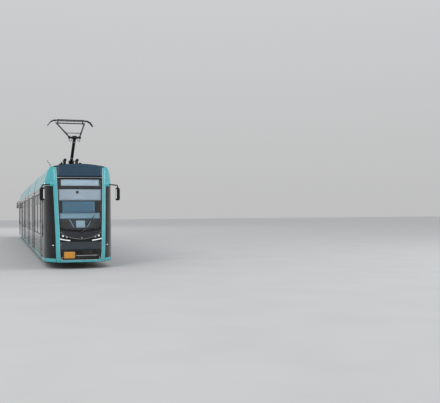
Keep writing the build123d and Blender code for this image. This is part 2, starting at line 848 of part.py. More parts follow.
def cab_parts():
    """All the pieces of one cab section."""
    front = nose_y
    back = -cab_start
    shell = cab_shell()
    behind = shell - nose_front(MASK_DEPTH)
    ends = [(back - PORTAL_THICK, back)]
    room = along(room_outline(), nose_y, back)
    lower = slab(-HALF_WIDTH * 2, HALF_WIDTH * 2, nose_y, back, 0, CANT_Z)
    walls = behind & lower
    post_right = portal_posts(*ends[0]) & room
    right = (walls & slab(0, HALF_WIDTH * 2, nose_y, back, 0, CANT_Z)) + post_right
    for cut in side_cuts(front, CAB_OPENINGS):
        right = right - cut
    sides = both_sides(right)
    upper = slab(-HALF_WIDTH * 2, HALF_WIDTH * 2, nose_y, back, CANT_Z, CREST_Z * 2)
    well_half = HALF_WIDTH - CREST_IN - CHEEK_THICK
    well = slab(-well_half, well_half, nose_y + NOSE_LENGTH, back, deck_z, CREST_Z * 2)
    roof = solid_of([(behind & upper) - well, portal_header(*ends[0])] + roof_boxes(front, CAB_ROOF_BOXES))
    bogie_y = nose_y + BOGIE_FROM_NOSE
    nose_room = nose_form(NOSE_WALL)
    rear_room = slab(-inner_half, inner_half, nose_y + NOSE_LENGTH, back, 0, CREST_Z)
    floor_plan = nose_room + rear_room
    flat = slab(-inner_half, inner_half, nose_y, back, FLOOR_Z - FLOOR_THICK, FLOOR_Z) & floor_plan
    half = WHEEL_BOX_HALF_LENGTH
    flat = flat - slab(-HALF_WIDTH, HALF_WIDTH, bogie_y - half, bogie_y + half, 0, FLOOR_Z * 2)
    tow_y = nose_y + TOW_AT
    floor = solid_of([flat, floor_over_bogie(bogie_y), turnplate(-pivot_far, back), tow_lug(tow_y)])
    floor = floor - post(0, tow_y, TOW_LOW - SEAL, TOW_LOW + TOW_BORE_DEEP, TOW_BORE_R)
    leaves, door_panes = door_leaves(front, CAB_OPENINGS)
    right_panes = window_panes(front, CAB_OPENINGS) + door_panes
    glass = [cab_screen(shell)]
    for pane in right_panes:
        glass += both_sides(pane)
    doors = []
    for leaf in leaves:
        doors += both_sides(leaf)
    interior_poles = fittings(front, CAB_SEATS, CAB_POLES, FLOOR_Z)
    return {
        "sides": sides,
        "roof": [roof],
        "floor": [floor],
        "front": [cab_front(shell)],
        "glass": glass,
        "doors": doors,
        "seats": interior_poles,
        "cab_fit": cab_fit(room),
        "lamps": lamp_solids(0, LAMP_PROUD),
        "mirrors": mirrors(),
        "wiper": [wiper()],
    }


def hung_parts():
    """All the pieces of one hung section, which has no wheels."""
    y0 = -hung_end
    y1 = -hung_start
    ends = [(y0, y0 + PORTAL_THICK), (y1 - PORTAL_THICK, y1)]
    right = straight_side(y0, y1, y0, HUNG_OPENINGS, ends)
    roof = solid_of([straight_roof(y0, y1, ends)] + roof_boxes(y0, HUNG_ROOF_BOXES))
    floor = low_floor(y0, y1)
    floor = turnplate_seat(turnplate_seat(floor, -pivot_far), -pivot_near)
    reach = TURNPLATE_R + TURN_CLEAR
    floor = solid_of([floor, knuckle(-pivot_far, y0, 1), knuckle(-pivot_near, y1, -1)])
    leaves, door_panes = door_leaves(y0, HUNG_OPENINGS)
    glass = []
    for pane in window_panes(y0, HUNG_OPENINGS) + door_panes:
        glass += both_sides(pane)
    doors = []
    for leaf in leaves:
        doors += both_sides(leaf)
    return {
        "sides": both_sides(right),
        "roof": [roof],
        "floor": [floor],
        "glass": glass,
        "doors": doors,
        "seats": fittings(y0, HUNG_SEATS, HUNG_POLES, FLOOR_Z),
    }


def mid_parts():
    """All the pieces of the middle section."""
    y0 = -mid_end
    y1 = mid_end
    ends = [(y0, y0 + PORTAL_THICK), (y1 - PORTAL_THICK, y1)]
    right = straight_side(y0, y1, y0, MID_OPENINGS, ends)
    roof = solid_of([straight_roof(y0, y1, ends)] + roof_boxes(y0, MID_ROOF_BOXES))
    half = WHEEL_BOX_HALF_LENGTH
    floor = [low_floor(y0, -half), low_floor(half, y1), floor_over_bogie(0)]
    floor += [turnplate(-pivot_near, y0), turnplate(pivot_near, y1)]
    glass = []
    for pane in window_panes(y0, MID_OPENINGS):
        glass += both_sides(pane)
    return {
        "sides": both_sides(right),
        "roof": [roof],
        "floor": [solid_of(floor)],
        "glass": glass,
        "seats": fittings(y0, MID_SEATS, MID_POLES, FLOOR_Z),
    }


def bellows(y0, y1):
    """Folding tunnel between two sections, open at its foot."""
    half = inner_half
    low = FLOOR_Z - FLOOR_THICK
    waist = slab(-half + FOLD_DEEP, half - FOLD_DEEP, y0, y1, low, CEILING_Z - FOLD_DEEP)
    pitch = (y1 - y0) / (FOLDS * 2 + 1)
    parts = [waist]
    for i in range(FOLDS):
        start = y0 + pitch * (i * 2 + 1)
        parts.append(slab(-half, half, start, start + pitch, low, CEILING_Z))
    wall = WALL / 3
    inner_low = half - FOLD_DEEP - wall
    inner = slab(-inner_low, inner_low, y0, y1, 0, CEILING_Z - FOLD_DEEP - wall)
    return solid_of(parts) - inner


def wheel_outline():
    """Half section of one wheel with its half axle, from the middle outwards."""
    back = BACK_TO_BACK / 2
    face = back + WHEEL_WIDTH
    rim = WHEEL_R - DISH_RIM
    hub = AXLE_R * 2
    end = BEAM_OUT + SEAL
    points = [
        (0, 0), (0, AXLE_R), (back, AXLE_R), (back, flange_r), (back + FLANGE_THICK * 0.6, flange_r),
        (back + FLANGE_THICK, WHEEL_R), (face, WHEEL_R), (face, rim), (face - DISH_DEEP, hub),
        (face - DISH_DEEP, JOURNAL_R), (end, JOURNAL_R), (end, 0),
    ]
    return make_face(Polyline(*points, close=True))


def wheelset(y):
    """One axle with its two wheels."""
    half = revolve(Plane.XY * wheel_outline(), Axis.X)
    whole = half + mirror(half, Plane.YZ)
    return Location((0, y, axle_z)) * whole


def bogie(y):
    """Bogie frame with its axle boxes, springs, motors, gear cases and track brakes."""
    reach = WHEELBASE / 2
    beam = slab(BEAM_IN, BEAM_OUT, -reach, reach, BEAM_LOW, BEAM_TOP)
    parts = [beam]
    for end in (-reach, reach):
        box = (end - AXLEBOX_HALF, end + AXLEBOX_HALF, axle_z - AXLEBOX_HALF, BEAM_TOP)
        parts.append(slab(BEAM_IN, BEAM_OUT, *box))
    top = WHEEL_BOX_TOP - WHEEL_BOX_PLATE - SEAL
    for spring_y in (-SPRING_Y, SPRING_Y):
        parts.append(post((BEAM_IN + BEAM_OUT) / 2, spring_y, BEAM_TOP, top, SPRING_R))
    for beam_y in (-CROSSBEAM_Y, CROSSBEAM_Y):
        span = (beam_y - CROSSBEAM_HALF, beam_y + CROSSBEAM_HALF)
        parts.append(slab(0, BEAM_IN, *span, CROSSBEAM_LOW, CROSSBEAM_TOP))
        parts.append(slab(BEAM_IN - WALL, BEAM_OUT, *span, CROSSBEAM_LOW, BEAM_LOW))
    brake0 = TRACK_BRAKE_X - TRACK_BRAKE_HALF
    brake1 = TRACK_BRAKE_X + TRACK_BRAKE_HALF
    long = TRACK_BRAKE_LENGTH / 2
    parts.append(slab(brake0, brake1, -long, long, TRACK_BRAKE_LOW, TRACK_BRAKE_TOP))
    for beam_y in (-CROSSBEAM_Y, CROSSBEAM_Y):
        hanger = (beam_y - TRACK_BRAKE_HALF, beam_y + TRACK_BRAKE_HALF)
        parts.append(slab(brake0 + WALL / 7, brake1 - WALL / 7, *hanger, TRACK_BRAKE_TOP, CROSSBEAM_LOW))
    half = solid_of(parts)
    for end in (-reach, reach):
        half = half - bar_x(BEAM_IN - WALL, BEAM_OUT + WALL, end, axle_z, JOURNAL_R + BEARING_CLEAR)
    drive = motor()
    whole = solid_of([half, mirror(half, Plane.YZ), drive, turned(drive)])
    return Location((0, y, 0)) * whole


def motor():
    """A motor along the tram, from a cross beam to the gear case round its axle."""
    axle_y = WHEELBASE / 2
    start = CROSSBEAM_Y + CROSSBEAM_HALF
    case_start = axle_y - GEARCASE_HALF
    middle_z = (GEARCASE_LOW + GEARCASE_TOP) / 2
    body = rod((MOTOR_AT, start, middle_z), (MOTOR_AT, case_start, middle_z), MOTOR_R)
    case = slab(
        MOTOR_AT - GEARCASE_HALF, MOTOR_AT + GEARCASE_HALF,
        case_start, axle_y + GEARCASE_HALF, GEARCASE_LOW, GEARCASE_TOP,
    )
    case = chamfer(case.edges().filter_by(Axis.X), GEARCASE_HALF / 3)
    return solid_of([body, case]) - bar_x(0, HALF_WIDTH / 2, axle_y, axle_z, AXLE_R + GEARCASE_CLEAR)


def direction(angle):
    """A unit step in the plane along the tram, by its angle over +Y."""
    return Vector(0, 1, 0).rotate(Axis.X, angle)


def pantograph():
    """Base frame, lower arm, upper arm and head, raised."""
    pivot = Vector(0, nose_y + PAN_FROM_NOSE, PAN_PIVOT_Z)
    knee = pivot + direction(LOWER_ANGLE) * LOWER_ARM
    head = knee + direction(UPPER_ANGLE) * UPPER_ARM
    return {
        "pan_base": [pan_base(pivot)],
        "pan_lower_arm": [pan_lower(pivot, knee)],
        "pan_upper_arm": [pan_upper(knee, head)],
        "pan_head": [pan_head(head)],
    }


def pan_base(pivot):
    """Frame on insulators, with the pivot's two ears and its lifting springs."""
    tube = PAN_BASE_TUBE
    y0 = pivot.Y - PAN_BASE_LENGTH * 0.62
    y1 = y0 + PAN_BASE_LENGTH
    frame_z = pivot.Z - LOWER_R * 2.6
    parts = []
    for x in (-PAN_BASE_HALF, PAN_BASE_HALF):
        parts.append(slab(x - tube / 2, x + tube / 2, y0, y1, frame_z - tube, frame_z))
    for y in (y0, pivot.Y, y1):
        beam = (y - tube / 2, y + tube / 2, frame_z - tube, frame_z)
        parts.append(slab(-PAN_BASE_HALF, PAN_BASE_HALF, *beam))
    foot = PEDESTAL_HALF
    for x in (-PAN_BASE_HALF, PAN_BASE_HALF):
        for y in (y0 + tube, y1 - tube):
            parts.append(slab(x - foot, x + foot, y - foot, y + foot, deck_z + SEAL, PEDESTAL_TOP))
            parts.append(post(x, y, PEDESTAL_TOP, frame_z - tube, INSULATOR_R))
    ear = LOWER_R + EAR_CLEAR
    for side in (-1, 1):
        span = (side * ear, side * (ear + EAR_THICK))
        parts.append(slab(*span, pivot.Y - tube, pivot.Y + tube, frame_z - tube, pivot.Z + tube))
    barrel_z = pivot.Z + BARREL_LIFT
    for x in (-BARREL_X, BARREL_X):
        parts.append(rod((x, pivot.Y, barrel_z), (x, y1, barrel_z), BARREL_R))
        for y in (pivot.Y, y1):
            legs = (x - BARREL_R / 2, x + BARREL_R / 2, y - EAR_THICK / 2, y + EAR_THICK / 2)
            parts.append(slab(*legs, frame_z - tube / 2, barrel_z))
    frame = solid_of(parts)
    return frame + bar_x(-ear, ear, pivot.Y, pivot.Z, LOWER_R * 0.4)


def pan_lower(pivot, knee):
    """Single thick arm with its pivot sleeve and the knee shaft."""
    sleeve = bar_x(-LOWER_R, LOWER_R, pivot.Y, pivot.Z, SLEEVE_R)
    arm = rod(tuple(pivot), tuple(knee), LOWER_R)
    shaft = bar_x(-KNEE_HALF, KNEE_HALF, knee.Y, knee.Z, KNEE_R)
    collar = bar_x(-LOWER_R * 1.4, LOWER_R * 1.4, knee.Y, knee.Z, SLEEVE_R)
    bore = bar_x(-PAN_BASE_HALF, PAN_BASE_HALF, pivot.Y, pivot.Z, LOWER_R * 0.4 + BEARING_CLEAR)
    return solid_of([sleeve, arm, shaft, collar]) - bore


def pan_upper(knee, head):
    """Two light tubes that spread towards the head."""
    parts = []
    for side in (-1, 1):
        foot_x = side * (KNEE_HALF - LOWER_R)
        hub = bar_x(foot_x - side * 25, foot_x + side * 25, knee.Y, knee.Z, KNEE_R * 1.6)
        foot = Vector(foot_x, knee.Y, knee.Z)
        top = Vector(side * HEAD_HALF, head.Y, head.Z)
        step = (top - foot).normalized() * KNEE_R * 1.3
        parts.append(hub + rod(tuple(foot + step), tuple(top), UPPER_R))
    cross = bar_x(-HEAD_HALF - KNEE_R, HEAD_HALF + KNEE_R, head.Y, head.Z, UPPER_R * 1.2)
    brace_at = knee + (head - knee) * 0.3
    brace_half = KNEE_HALF - LOWER_R + (HEAD_HALF - KNEE_HALF + LOWER_R) * 0.3
    brace = bar_x(-brace_half, brace_half, brace_at.Y, brace_at.Z, BRACE_R)
    whole = solid_of(parts + [cross, brace])
    return whole - bar_x(-HEAD_HALF, HEAD_HALF, knee.Y, knee.Z, KNEE_R + BEARING_CLEAR)


def horn(side, y, strip_z):
    """Bar that droops from the end of a contact strip."""
    top = strip_z + CARBON_THICK
    x0 = side * (STRIP_HALF - HORN_WIDE)
    x1 = side * STRIP_HALF
    x2 = side * (STRIP_HALF + HORN_OUT)
    low = strip_z - HORN_DROP
    elbow = (side * (STRIP_HALF + HORN_OUT * 0.55), top - HORN_DROP * 0.35)
    under = (elbow[0] - side * HORN_WIDE / 2, elbow[1] - HORN_WIDE)
    points = [
        (x0, top), (x1, top), elbow, (x2, low), (x2 - side * HORN_WIDE, low),
        under, (x1, strip_z), (x0, strip_z),
    ]
    return along(make_face(Polyline(*points, close=True)), y - HORN_WIDE / 2, y + HORN_WIDE / 2)


def pan_head(head):
    """Two contact strips with drooping horns on a rocking frame."""
    parts = []
    strip_z = head.Z + UPPER_R * 5
    half = STRIP_SPREAD / 2
    arm = HORN_WIDE / 2
    for side in (-1, 1):
        x = side * (HEAD_HALF - CARBON_WIDE)
        parts.append(bar_x(x - arm * 1.6, x + arm * 1.6, head.Y, head.Z, UPPER_R * 2))
        parts.append(slab(x - arm, x + arm, head.Y - half, head.Y + half, strip_z - arm * 2, strip_z))
        parts.append(slab(x - arm, x + arm, head.Y - arm, head.Y + arm, head.Z + UPPER_R * 1.6, strip_z))
    for y in (head.Y - half, head.Y + half):
        carbon = (y - CARBON_WIDE / 2, y + CARBON_WIDE / 2, strip_z, strip_z + CARBON_THICK)
        parts.append(slab(-STRIP_HALF, STRIP_HALF, *carbon))
        parts += [horn(side, y, strip_z) for side in (-1, 1)]
    low = strip_z - HORN_DROP
    for side in (-1, 1):
        end_x = side * (STRIP_HALF + HORN_OUT)
        tie = (end_x - side * HORN_WIDE, end_x, head.Y - half, head.Y + half)
        parts.append(slab(*tie, low, low + HORN_WIDE))
    bore = bar_x(-HEAD_HALF * 2, HEAD_HALF * 2, head.Y, head.Z, UPPER_R * 1.2 + BEARING_CLEAR)
    return solid_of(parts) - bore


def main():
    """Writes every node of the tram."""
    for name, solids in cab_parts().items():
        write(f"front_{name}", solids)
        write(f"rear_{name}", [turned(solid) for solid in solids])
    for name, solids in hung_parts().items():
        write(f"second_{name}", solids)
        write(f"fourth_{name}", [turned(solid) for solid in solids])
    for name, solids in mid_parts().items():
        write(f"middle_{name}", solids)
    for name, start, end in (
        ("bellows_1", -cab_start, -hung_end),
        ("bellows_2", -hung_start, -mid_end),
        ("bellows_3", mid_end, hung_start),
        ("bellows_4", hung_end, cab_start),
    ):
        write(name, [bellows(start, end)])
    for name, y in (("front", -bogie_far), ("middle", 0), ("rear", bogie_far)):
        write(f"{name}_bogie", [bogie(y)])
        write(f"{name}_wheelset_1", [wheelset(y - WHEELBASE / 2)])
        write(f"{name}_wheelset_2", [wheelset(y + WHEELBASE / 2)])
    for name, solids in pantograph().items():
        write(name, solids)


main()
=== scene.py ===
import json
import math
from collections import namedtuple
from functools import partial

import bmesh
import bpy
from mathutils import Matrix, Vector

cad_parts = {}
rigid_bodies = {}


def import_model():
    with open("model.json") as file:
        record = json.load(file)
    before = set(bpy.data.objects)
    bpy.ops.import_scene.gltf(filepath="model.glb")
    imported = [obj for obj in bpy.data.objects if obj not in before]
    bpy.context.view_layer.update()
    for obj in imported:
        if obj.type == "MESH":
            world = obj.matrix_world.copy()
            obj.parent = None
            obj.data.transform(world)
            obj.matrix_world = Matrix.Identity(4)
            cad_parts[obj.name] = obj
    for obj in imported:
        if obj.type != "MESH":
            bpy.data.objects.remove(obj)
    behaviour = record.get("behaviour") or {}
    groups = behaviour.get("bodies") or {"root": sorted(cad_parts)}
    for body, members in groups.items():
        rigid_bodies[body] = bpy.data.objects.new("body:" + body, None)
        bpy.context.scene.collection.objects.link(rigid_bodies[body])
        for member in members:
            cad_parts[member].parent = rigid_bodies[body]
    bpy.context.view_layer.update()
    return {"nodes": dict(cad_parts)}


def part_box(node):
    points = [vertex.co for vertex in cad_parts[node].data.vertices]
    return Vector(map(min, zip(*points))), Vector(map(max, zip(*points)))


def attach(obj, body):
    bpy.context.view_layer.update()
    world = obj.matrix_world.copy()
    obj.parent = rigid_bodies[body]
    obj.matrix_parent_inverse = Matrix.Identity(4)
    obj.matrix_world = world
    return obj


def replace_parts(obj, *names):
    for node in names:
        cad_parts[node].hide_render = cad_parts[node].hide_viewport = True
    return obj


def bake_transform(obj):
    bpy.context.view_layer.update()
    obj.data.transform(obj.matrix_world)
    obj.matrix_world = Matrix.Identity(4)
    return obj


bl_info = {
    "name": "Low-floor tram",
    "version": (1, 0, 0),
    "blender": (4, 5, 0),
    "location": "View3D > Sidebar > Tram",
    "description": "Builds the finish and the fittings of a low-floor tram on its frame",
    "category": "Add Mesh",
}

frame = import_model()
NODES = frame["nodes"]

# The photo's camera, in metres and degrees
IMAGE_WIDTH = 440
FOCAL_PX = 696.3
SENSOR = 36.0
CAMERA_AT = (-2.61, -41.958, 1.902)
CAMERA_YAW = 17.48
CAMERA_PITCH = 0.88
CAMERA_ROLL = -0.37

# Sizes of the tram, in metres, as its frame has them
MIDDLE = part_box("middle_sides")
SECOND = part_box("second_sides")
HALF = MIDDLE[1].x
SKIRT = MIDDLE[0].z
MID_END = MIDDLE[1].y
HUNG_NEAR = SECOND[1].y
HUNG_FAR = SECOND[0].y
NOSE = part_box("front_front")[0].y
CAB_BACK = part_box("front_roof")[1].y

# Heights of the roof's deck, of the axles and of the grab rails
DECK = 3.22
AXLE_Z = 0.318
RAIL_Z = 2.35

# Nose outlines as in the frame: height, set-back, half width of the face, bulge
NOSE_ROWS = (
    (0.23, 0.070, 0.760, 0.090),
    (0.62, 0.000, 0.785, 0.105),
    (1.18, 0.025, 0.795, 0.115),
    (3.12, 0.345, 0.860, 0.110),
    (3.70, 0.520, 0.880, 0.105),
)
NOSE_LENGTH = 1.25

# The frame of the face: its lift off the face, its thickness, the radius of its inner corners
RING_LIFT = 0.0125
RING_THICK = 0.03
RING_CORNER = 0.075

# The windscreen: half widths and heights of its top and foot, sag of the foot
SCREEN_TOP_HALF = 0.765
SCREEN_LOW_HALF = 0.715
SCREEN_TOP = 3.108
SCREEN_LOW = 1.385
SCREEN_SAG = 0.085

# Lamps of the face: across, height, radius, finish; the last pair are the tail lamps
LAMPS = ((0.600, 1.128, 0.046, "lamp"), (0.480, 1.092, 0.038, "lamp_soft"), (0.670, 0.850, 0.028, None))

# Openings of the sections, in metres from each section's front end
CAB_OPEN = (("window", 1.33, 1.99), ("leaf", 2.20, 3.08), ("window", 3.38, 5.48), ("window", 5.62, 7.62))
HUNG_OPEN = (("leaves", 0.56, 1.86), ("window", 2.12, 4.78), ("leaves", 5.04, 6.34))
MID_OPEN = (("window", 0.33, 1.88), ("window", 2.02, 3.57))
WINDOW_Z = (1.12, 2.64)
DOOR_Z = (0.30, 2.70)

Section = namedtuple("Section", "name kind y0 y1 opens turn")
SECTIONS = (
    Section("front", "front", NOSE, CAB_BACK, CAB_OPEN, False),
    Section("rear", "front", NOSE, CAB_BACK, CAB_OPEN, True),
    Section("second", "second", HUNG_FAR, HUNG_NEAR, HUNG_OPEN, False),
    Section("fourth", "second", HUNG_FAR, HUNG_NEAR, HUNG_OPEN, True),
    Section("middle", "middle", -MID_END, MID_END, MID_OPEN, False),
)

# Roof boxes of each kind of section: start, end, half width, height
ROOF_BOXES = {
    "front": ((4.70, 6.10, 0.70, 0.33), (6.35, 7.60, 0.76, 0.30)),
    "second": ((0.70, 3.00, 0.80, 0.34), (3.40, 6.10, 0.74, 0.28)),
    "middle": ((0.45, 1.85, 0.78, 0.33), (2.10, 3.45, 0.72, 0.28)),
}

# Seats of each kind of section: place along, side, the way they face, height
HIGH_SEAT = 0.945
LOW_SEAT = 0.83
SEATS = {
    "front": [(u, s, f, HIGH_SEAT) for s in (1, -1) for u, f in ((3.85, 1), (4.85, -1), (5.65, 1))],
    "second": [(u, s, 1, LOW_SEAT) for s in (1, -1) for u in (2.20, 3.30)],
    "middle": [(u, s, f, HIGH_SEAT) for s in (1, -1) for u, f in ((0.75, 1), (1.75, -1), (2.60, 1))],
}

# The pantograph's pivots, from its arms' lengths and angles in degrees
LOWER_ARM = (1.532, 147.6)
UPPER_ARM = (1.75, 24.3)


def arm_end(start, length, angle):
    """The far end of a pantograph arm."""
    turn = math.radians(angle)
    return start + Vector((0, math.cos(turn), math.sin(turn))) * length


PIVOT = Vector((0, NOSE + 3.45, 3.88))
KNEE = arm_end(PIVOT, *LOWER_ARM)
HEAD = arm_end(KNEE, *UPPER_ARM)


def spread(low, high, n):
    """Even steps from low to high."""
    return [low + (high - low) * i / n for i in range(n + 1)]


def compass(n):
    """Directions round a circle, as cosine and sine."""
    turns = [2 * math.pi * k / n for k in range(n)]
    return [(math.cos(t), math.sin(t)) for t in turns]


def put(name, data):
    """Adds an object to the scene."""
    obj = bpy.data.objects.new(name, data)
    bpy.context.scene.collection.objects.link(obj)
    return obj


class Build:
    """Collects shapes into one mesh, each in a finish that MATS names."""

    def __init__(self):
        self.bm = bmesh.new()
        self.finishes = []

    def face(self, verts, mat, smooth=True):
        """Adds one face."""
        if mat not in self.finishes:
            self.finishes.append(mat)
        face = self.bm.faces.new(verts)
        face.material_index = self.finishes.index(mat)
        face.smooth = smooth

    def add(self, verts, faces, mat, smooth=True):
        """Adds vertices and faces."""
        made = [self.bm.verts.new(v) for v in verts]
        for f in faces:
            self.face([made[i] for i in f], mat, smooth)

    def block(self, x0, x1, y0, y1, z0, z1, mat):
        """A block between two corners."""
        v = [(x, y, z) for z in (z0, z1) for y in (y0, y1) for x in (x0, x1)]
        f = [(0, 2, 3, 1), (4, 5, 7, 6), (0, 1, 5, 4), (2, 6, 7, 3), (0, 4, 6, 2), (1, 3, 7, 5)]
        self.add(v, f, mat, smooth=False)

    def box(self, x, y, half_x, half_y, z0, z1, mat):
        """A block about a centre."""
        self.block(x - half_x, x + half_x, y - half_y, y + half_y, z0, z1, mat)

    def ring(self, centre, a, b, radius, sides):
        """Vertices on a circle in the plane of two directions."""
        return [self.bm.verts.new(centre + (a * c + b * s) * radius) for c, s in compass(sides)]

    def join(self, rings, mat, smooth_ends=False):
        """Joins rings of vertices into a round skin with closed ends."""
        for low, high in zip(rings, rings[1:]):
            for k in range(len(low)):
                m = (k + 1) % len(low)
                self.face((low[k], low[m], high[m], high[k]), mat)
        self.face(rings[0][::-1], mat, smooth_ends)
        self.face(rings[-1], mat, smooth_ends)

    def tube(self, points, radius, mat, sides=8):
        """A round tube along points."""
        points = [Vector(p) for p in points]
        rings = []
        normal = None
        for before, p, after in zip(points[:1] + points, points, points[1:] + points[-1:]):
            t = (after - before).normalized()
            if normal is None:
                normal = t.orthogonal().normalized()
            normal = (normal - t * normal.dot(t)).normalized()
            rings.append(self.ring(p, normal, t.cross(normal), radius, sides))
        self.join(rings, mat)

    def revolve(self, profile, centre, axis, mat, sides=24):
        """Turns a profile of (along, radius) about an axis through a centre."""
        axis = Vector(axis).normalized()
        a = axis.orthogonal().normalized()
        b = axis.cross(a)
        centre = Vector(centre)
        self.join([self.ring(centre + axis * d, a, b, max(r, 1e-4), sides) for d, r in profile], mat)

    def sheet(self, grid, mat):
        """Closes a grid of (outer, inner) points into one thin solid."""
        rows = len(grid)
        cols = len(grid[0])

        def at(j, i, back=0):
            return (back * rows + j) * cols + i

        faces = []
        for j in range(rows - 1):
            for i in range(cols - 1):
                faces.append((at(j, i), at(j, i + 1), at(j + 1, i + 1), at(j + 1, i)))
                faces.append((at(j, i, 1), at(j + 1, i, 1), at(j + 1, i + 1, 1), at(j, i + 1, 1)))
        j = rows - 1
        for i in range(cols - 1):
            faces.append((at(0, i), at(0, i, 1), at(0, i + 1, 1), at(0, i + 1)))
            faces.append((at(j, i), at(j, i + 1), at(j, i + 1, 1), at(j, i, 1)))
        i = cols - 1
        for j in range(rows - 1):
            faces.append((at(j, 0), at(j + 1, 0), at(j + 1, 0, 1), at(j, 0, 1)))
            faces.append((at(j, i), at(j, i, 1), at(j + 1, i, 1), at(j + 1, i)))
        self.add([pair[back] for back in (0, 1) for row in grid for pair in row], faces, mat)

    def make(self, name):
        """Makes the object with its finishes."""
        bmesh.ops.recalc_face_normals(self.bm, faces=self.bm.faces)
        mesh = bpy.data.meshes.new(name)
        self.bm.to_mesh(mesh)
        self.bm.free()
        for key in self.finishes:
            mesh.materials.append(MATS[key])
        return put(name, mesh)

    def finish(self, name, body, slot, turn=False):
        """Makes the piece, turned half round if asked, and seats it on its body."""
        if turn:
            half_turn = Matrix.Rotation(math.pi, 3, "Z")
            bmesh.ops.rotate(self.bm, verts=self.bm.verts, cent=(0, 0, 0), matrix=half_turn)
        obj = self.make(name)
        if body:
            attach(obj, body)
        return obj

    def seat(self, s, what, slot):
        """Makes a piece of a section."""
        return self.finish(f"{s.name}_{what}", s.name, slot, s.turn)


def nose_row(z):
    """Set-back, half width and bulge of the nose at a height."""
    z = min(max(z, NOSE_ROWS[0][0]), NOSE_ROWS[-1][0])
    for low, high in zip(NOSE_ROWS, NOSE_ROWS[1:]):
        if z <= high[0]:
            break
    t = (z - low[0]) / (high[0] - low[0])
    return [a + (b - a) * t for a, b in zip(low[1:], high[1:])]


def nose_at(x, z, lift=0.0):
    """A point on the face, lifted off it by some distance."""
    setback, half, bulge = nose_row(z)
    radius = (half * half + bulge * bulge) / (2 * bulge)
    sag = radius - math.sqrt(max(radius * radius - x * x, 0))
    return Vector((x, NOSE + setback + sag - lift, z))


def nose_side(u, z, lift=0.0):
    """A point on the right-hand side of the nose, u behind its tip."""
    setback, half, bulge = nose_row(z)
    a = HALF - half
    b = NOSE_LENGTH - setback - bulge
    radius = (a * a + b * b) / (2 * a)
    back = min(max(NOSE_LENGTH - u, 0), b)
    run = math.sqrt(radius * radius - back * back)
    return Vector((HALF - radius + run + lift * run / radius, NOSE + u - lift * back / radius, z))


def mirrored(p, side):
    """A point of the right-hand side, put on one side or the other."""
    return Vector((side * p.x, p.y, p.z))


class Graph:
    """Short ways to add nodes to a node tree."""

    def __init__(self, tree):
        self.tree = tree

    def link(self, a, b):
        """Joins two sockets, or gives a socket its value."""
        if hasattr(a, "is_output"):
            self.tree.links.new(a, b)
        else:
            b.default_value = (*a, 1.0) if b.type == "RGBA" else a

    def node(self, kind, inputs, **settings):
        """A node with its settings and what its sockets get, by name or number."""
        made = self.tree.nodes.new(kind)
        for key, value in settings.items():
            setattr(made, key, value)
        for key, value in inputs.items():
            self.link(value, made.inputs[key])
        return made


class Finish(Graph):
    """A material with its even values set on the shader, and short ways to add patterns."""

    def __init__(self, name, rough, metal=0.0, coat=0.0, **more):
        self.mat = bpy.data.materials.new(name)
        self.mat.use_nodes = True
        super().__init__(self.mat.node_tree)
        self.shader = self.tree.nodes["Principled BSDF"].inputs
        self.coord = self.node("ShaderNodeTexCoord", {}).outputs
        self.set("Roughness", rough)
        self.set("Metallic", metal)
        self.set("Coat Weight", coat)
        self.set("Coat Roughness", 0.04)
        for key, value in more.items():
            self.set(key.replace("_", " "), value)

    def set(self, key, value):
        """Gives a socket of the shader a value or a pattern."""
        self.link(value, self.shader[key])

    def math(self, op, a, b=0.0, clamp=False):
        """A Math node."""
        return self.node("ShaderNodeMath", {0: a, 1: b}, operation=op, use_clamp=clamp).outputs[0]

    def step(self, value, low, high):
        """0 below low, 1 above high."""
        return self.node("ShaderNodeMapRange", {0: value, 1: low, 2: high}, clamp=True).outputs[0]

    def mix(self, share, a, b):
        """A mix of two colours."""
        return self.node("ShaderNodeMix", {0: share, 6: a, 7: b}, data_type="RGBA").outputs[2]

    def xyz(self, key="Object"):
        """The three parts of a coordinate."""
        return self.node("ShaderNodeSeparateXYZ", {0: self.coord[key]}).outputs

    def noise(self, scale, detail, stretch=(1, 1, 1)):
        """A noise pattern over the object."""
        place = self.node("ShaderNodeMapping", {0: self.coord["Object"], "Scale": stretch}).outputs[0]
        inputs = {"Vector": place, "Scale": scale, "Detail": detail}
        return self.node("ShaderNodeTexNoise", inputs).outputs[0]

    def spots(self, scale, detail, low=0.3, high=0.7, stretch=(1, 1, 1)):
        """Soft spots of noise."""
        return self.step(self.noise(scale, detail, stretch), low, high)

    def mottled(self, spots, colour, k):
        """A colour that is k times as bright on the spots."""
        return self.mix(spots, colour, [c * k for c in colour])

    def dirt(self, low, high, spots, share):
        """Road dust on the spots, fading out between two heights."""
        fade = self.math("SUBTRACT", 1.0, self.step(self.xyz()[2], low, high))
        return self.math("MULTIPLY", self.math("MULTIPLY", fade, spots), share)

    def bump(self, height, strength, distance):
        """Bumps the surface."""
        inputs = {"Strength": strength, "Distance": distance, "Height": height}
        self.set("Normal", self.node("ShaderNodeBump", inputs).outputs[0])


DUST = (0.20, 0.185, 0.165)
TEAL = (0.075, 0.52, 0.58)
BLACK = (0.008, 0.009, 0.011)
LINING = (0.55, 0.56, 0.57)
MATS = {}


def painted(name, colour, rough, dust=0.0, grain=60.0, bump=0.04, **more):
    """Paint or plastic with slight mottling, road dust low down and a fine skin."""
    n = Finish(name, rough, **more)
    fine = n.noise(grain, 3.0)
    dirt = n.dirt(0.1, 1.3, n.spots(7.0, 5.0, 0.35, 0.75), dust)
    n.set("Base Color", n.mix(dirt, n.mottled(n.spots(3.0, 4.0), colour, 0.86), DUST))
    skin = n.math("ADD", n.math("MULTIPLY", fine, 0.08), rough - 0.04)
    n.set("Roughness", n.math("ADD", skin, n.math("MULTIPLY", dirt, 0.4), clamp=True))
    n.bump(fine, bump, 0.001)
    return n.mat


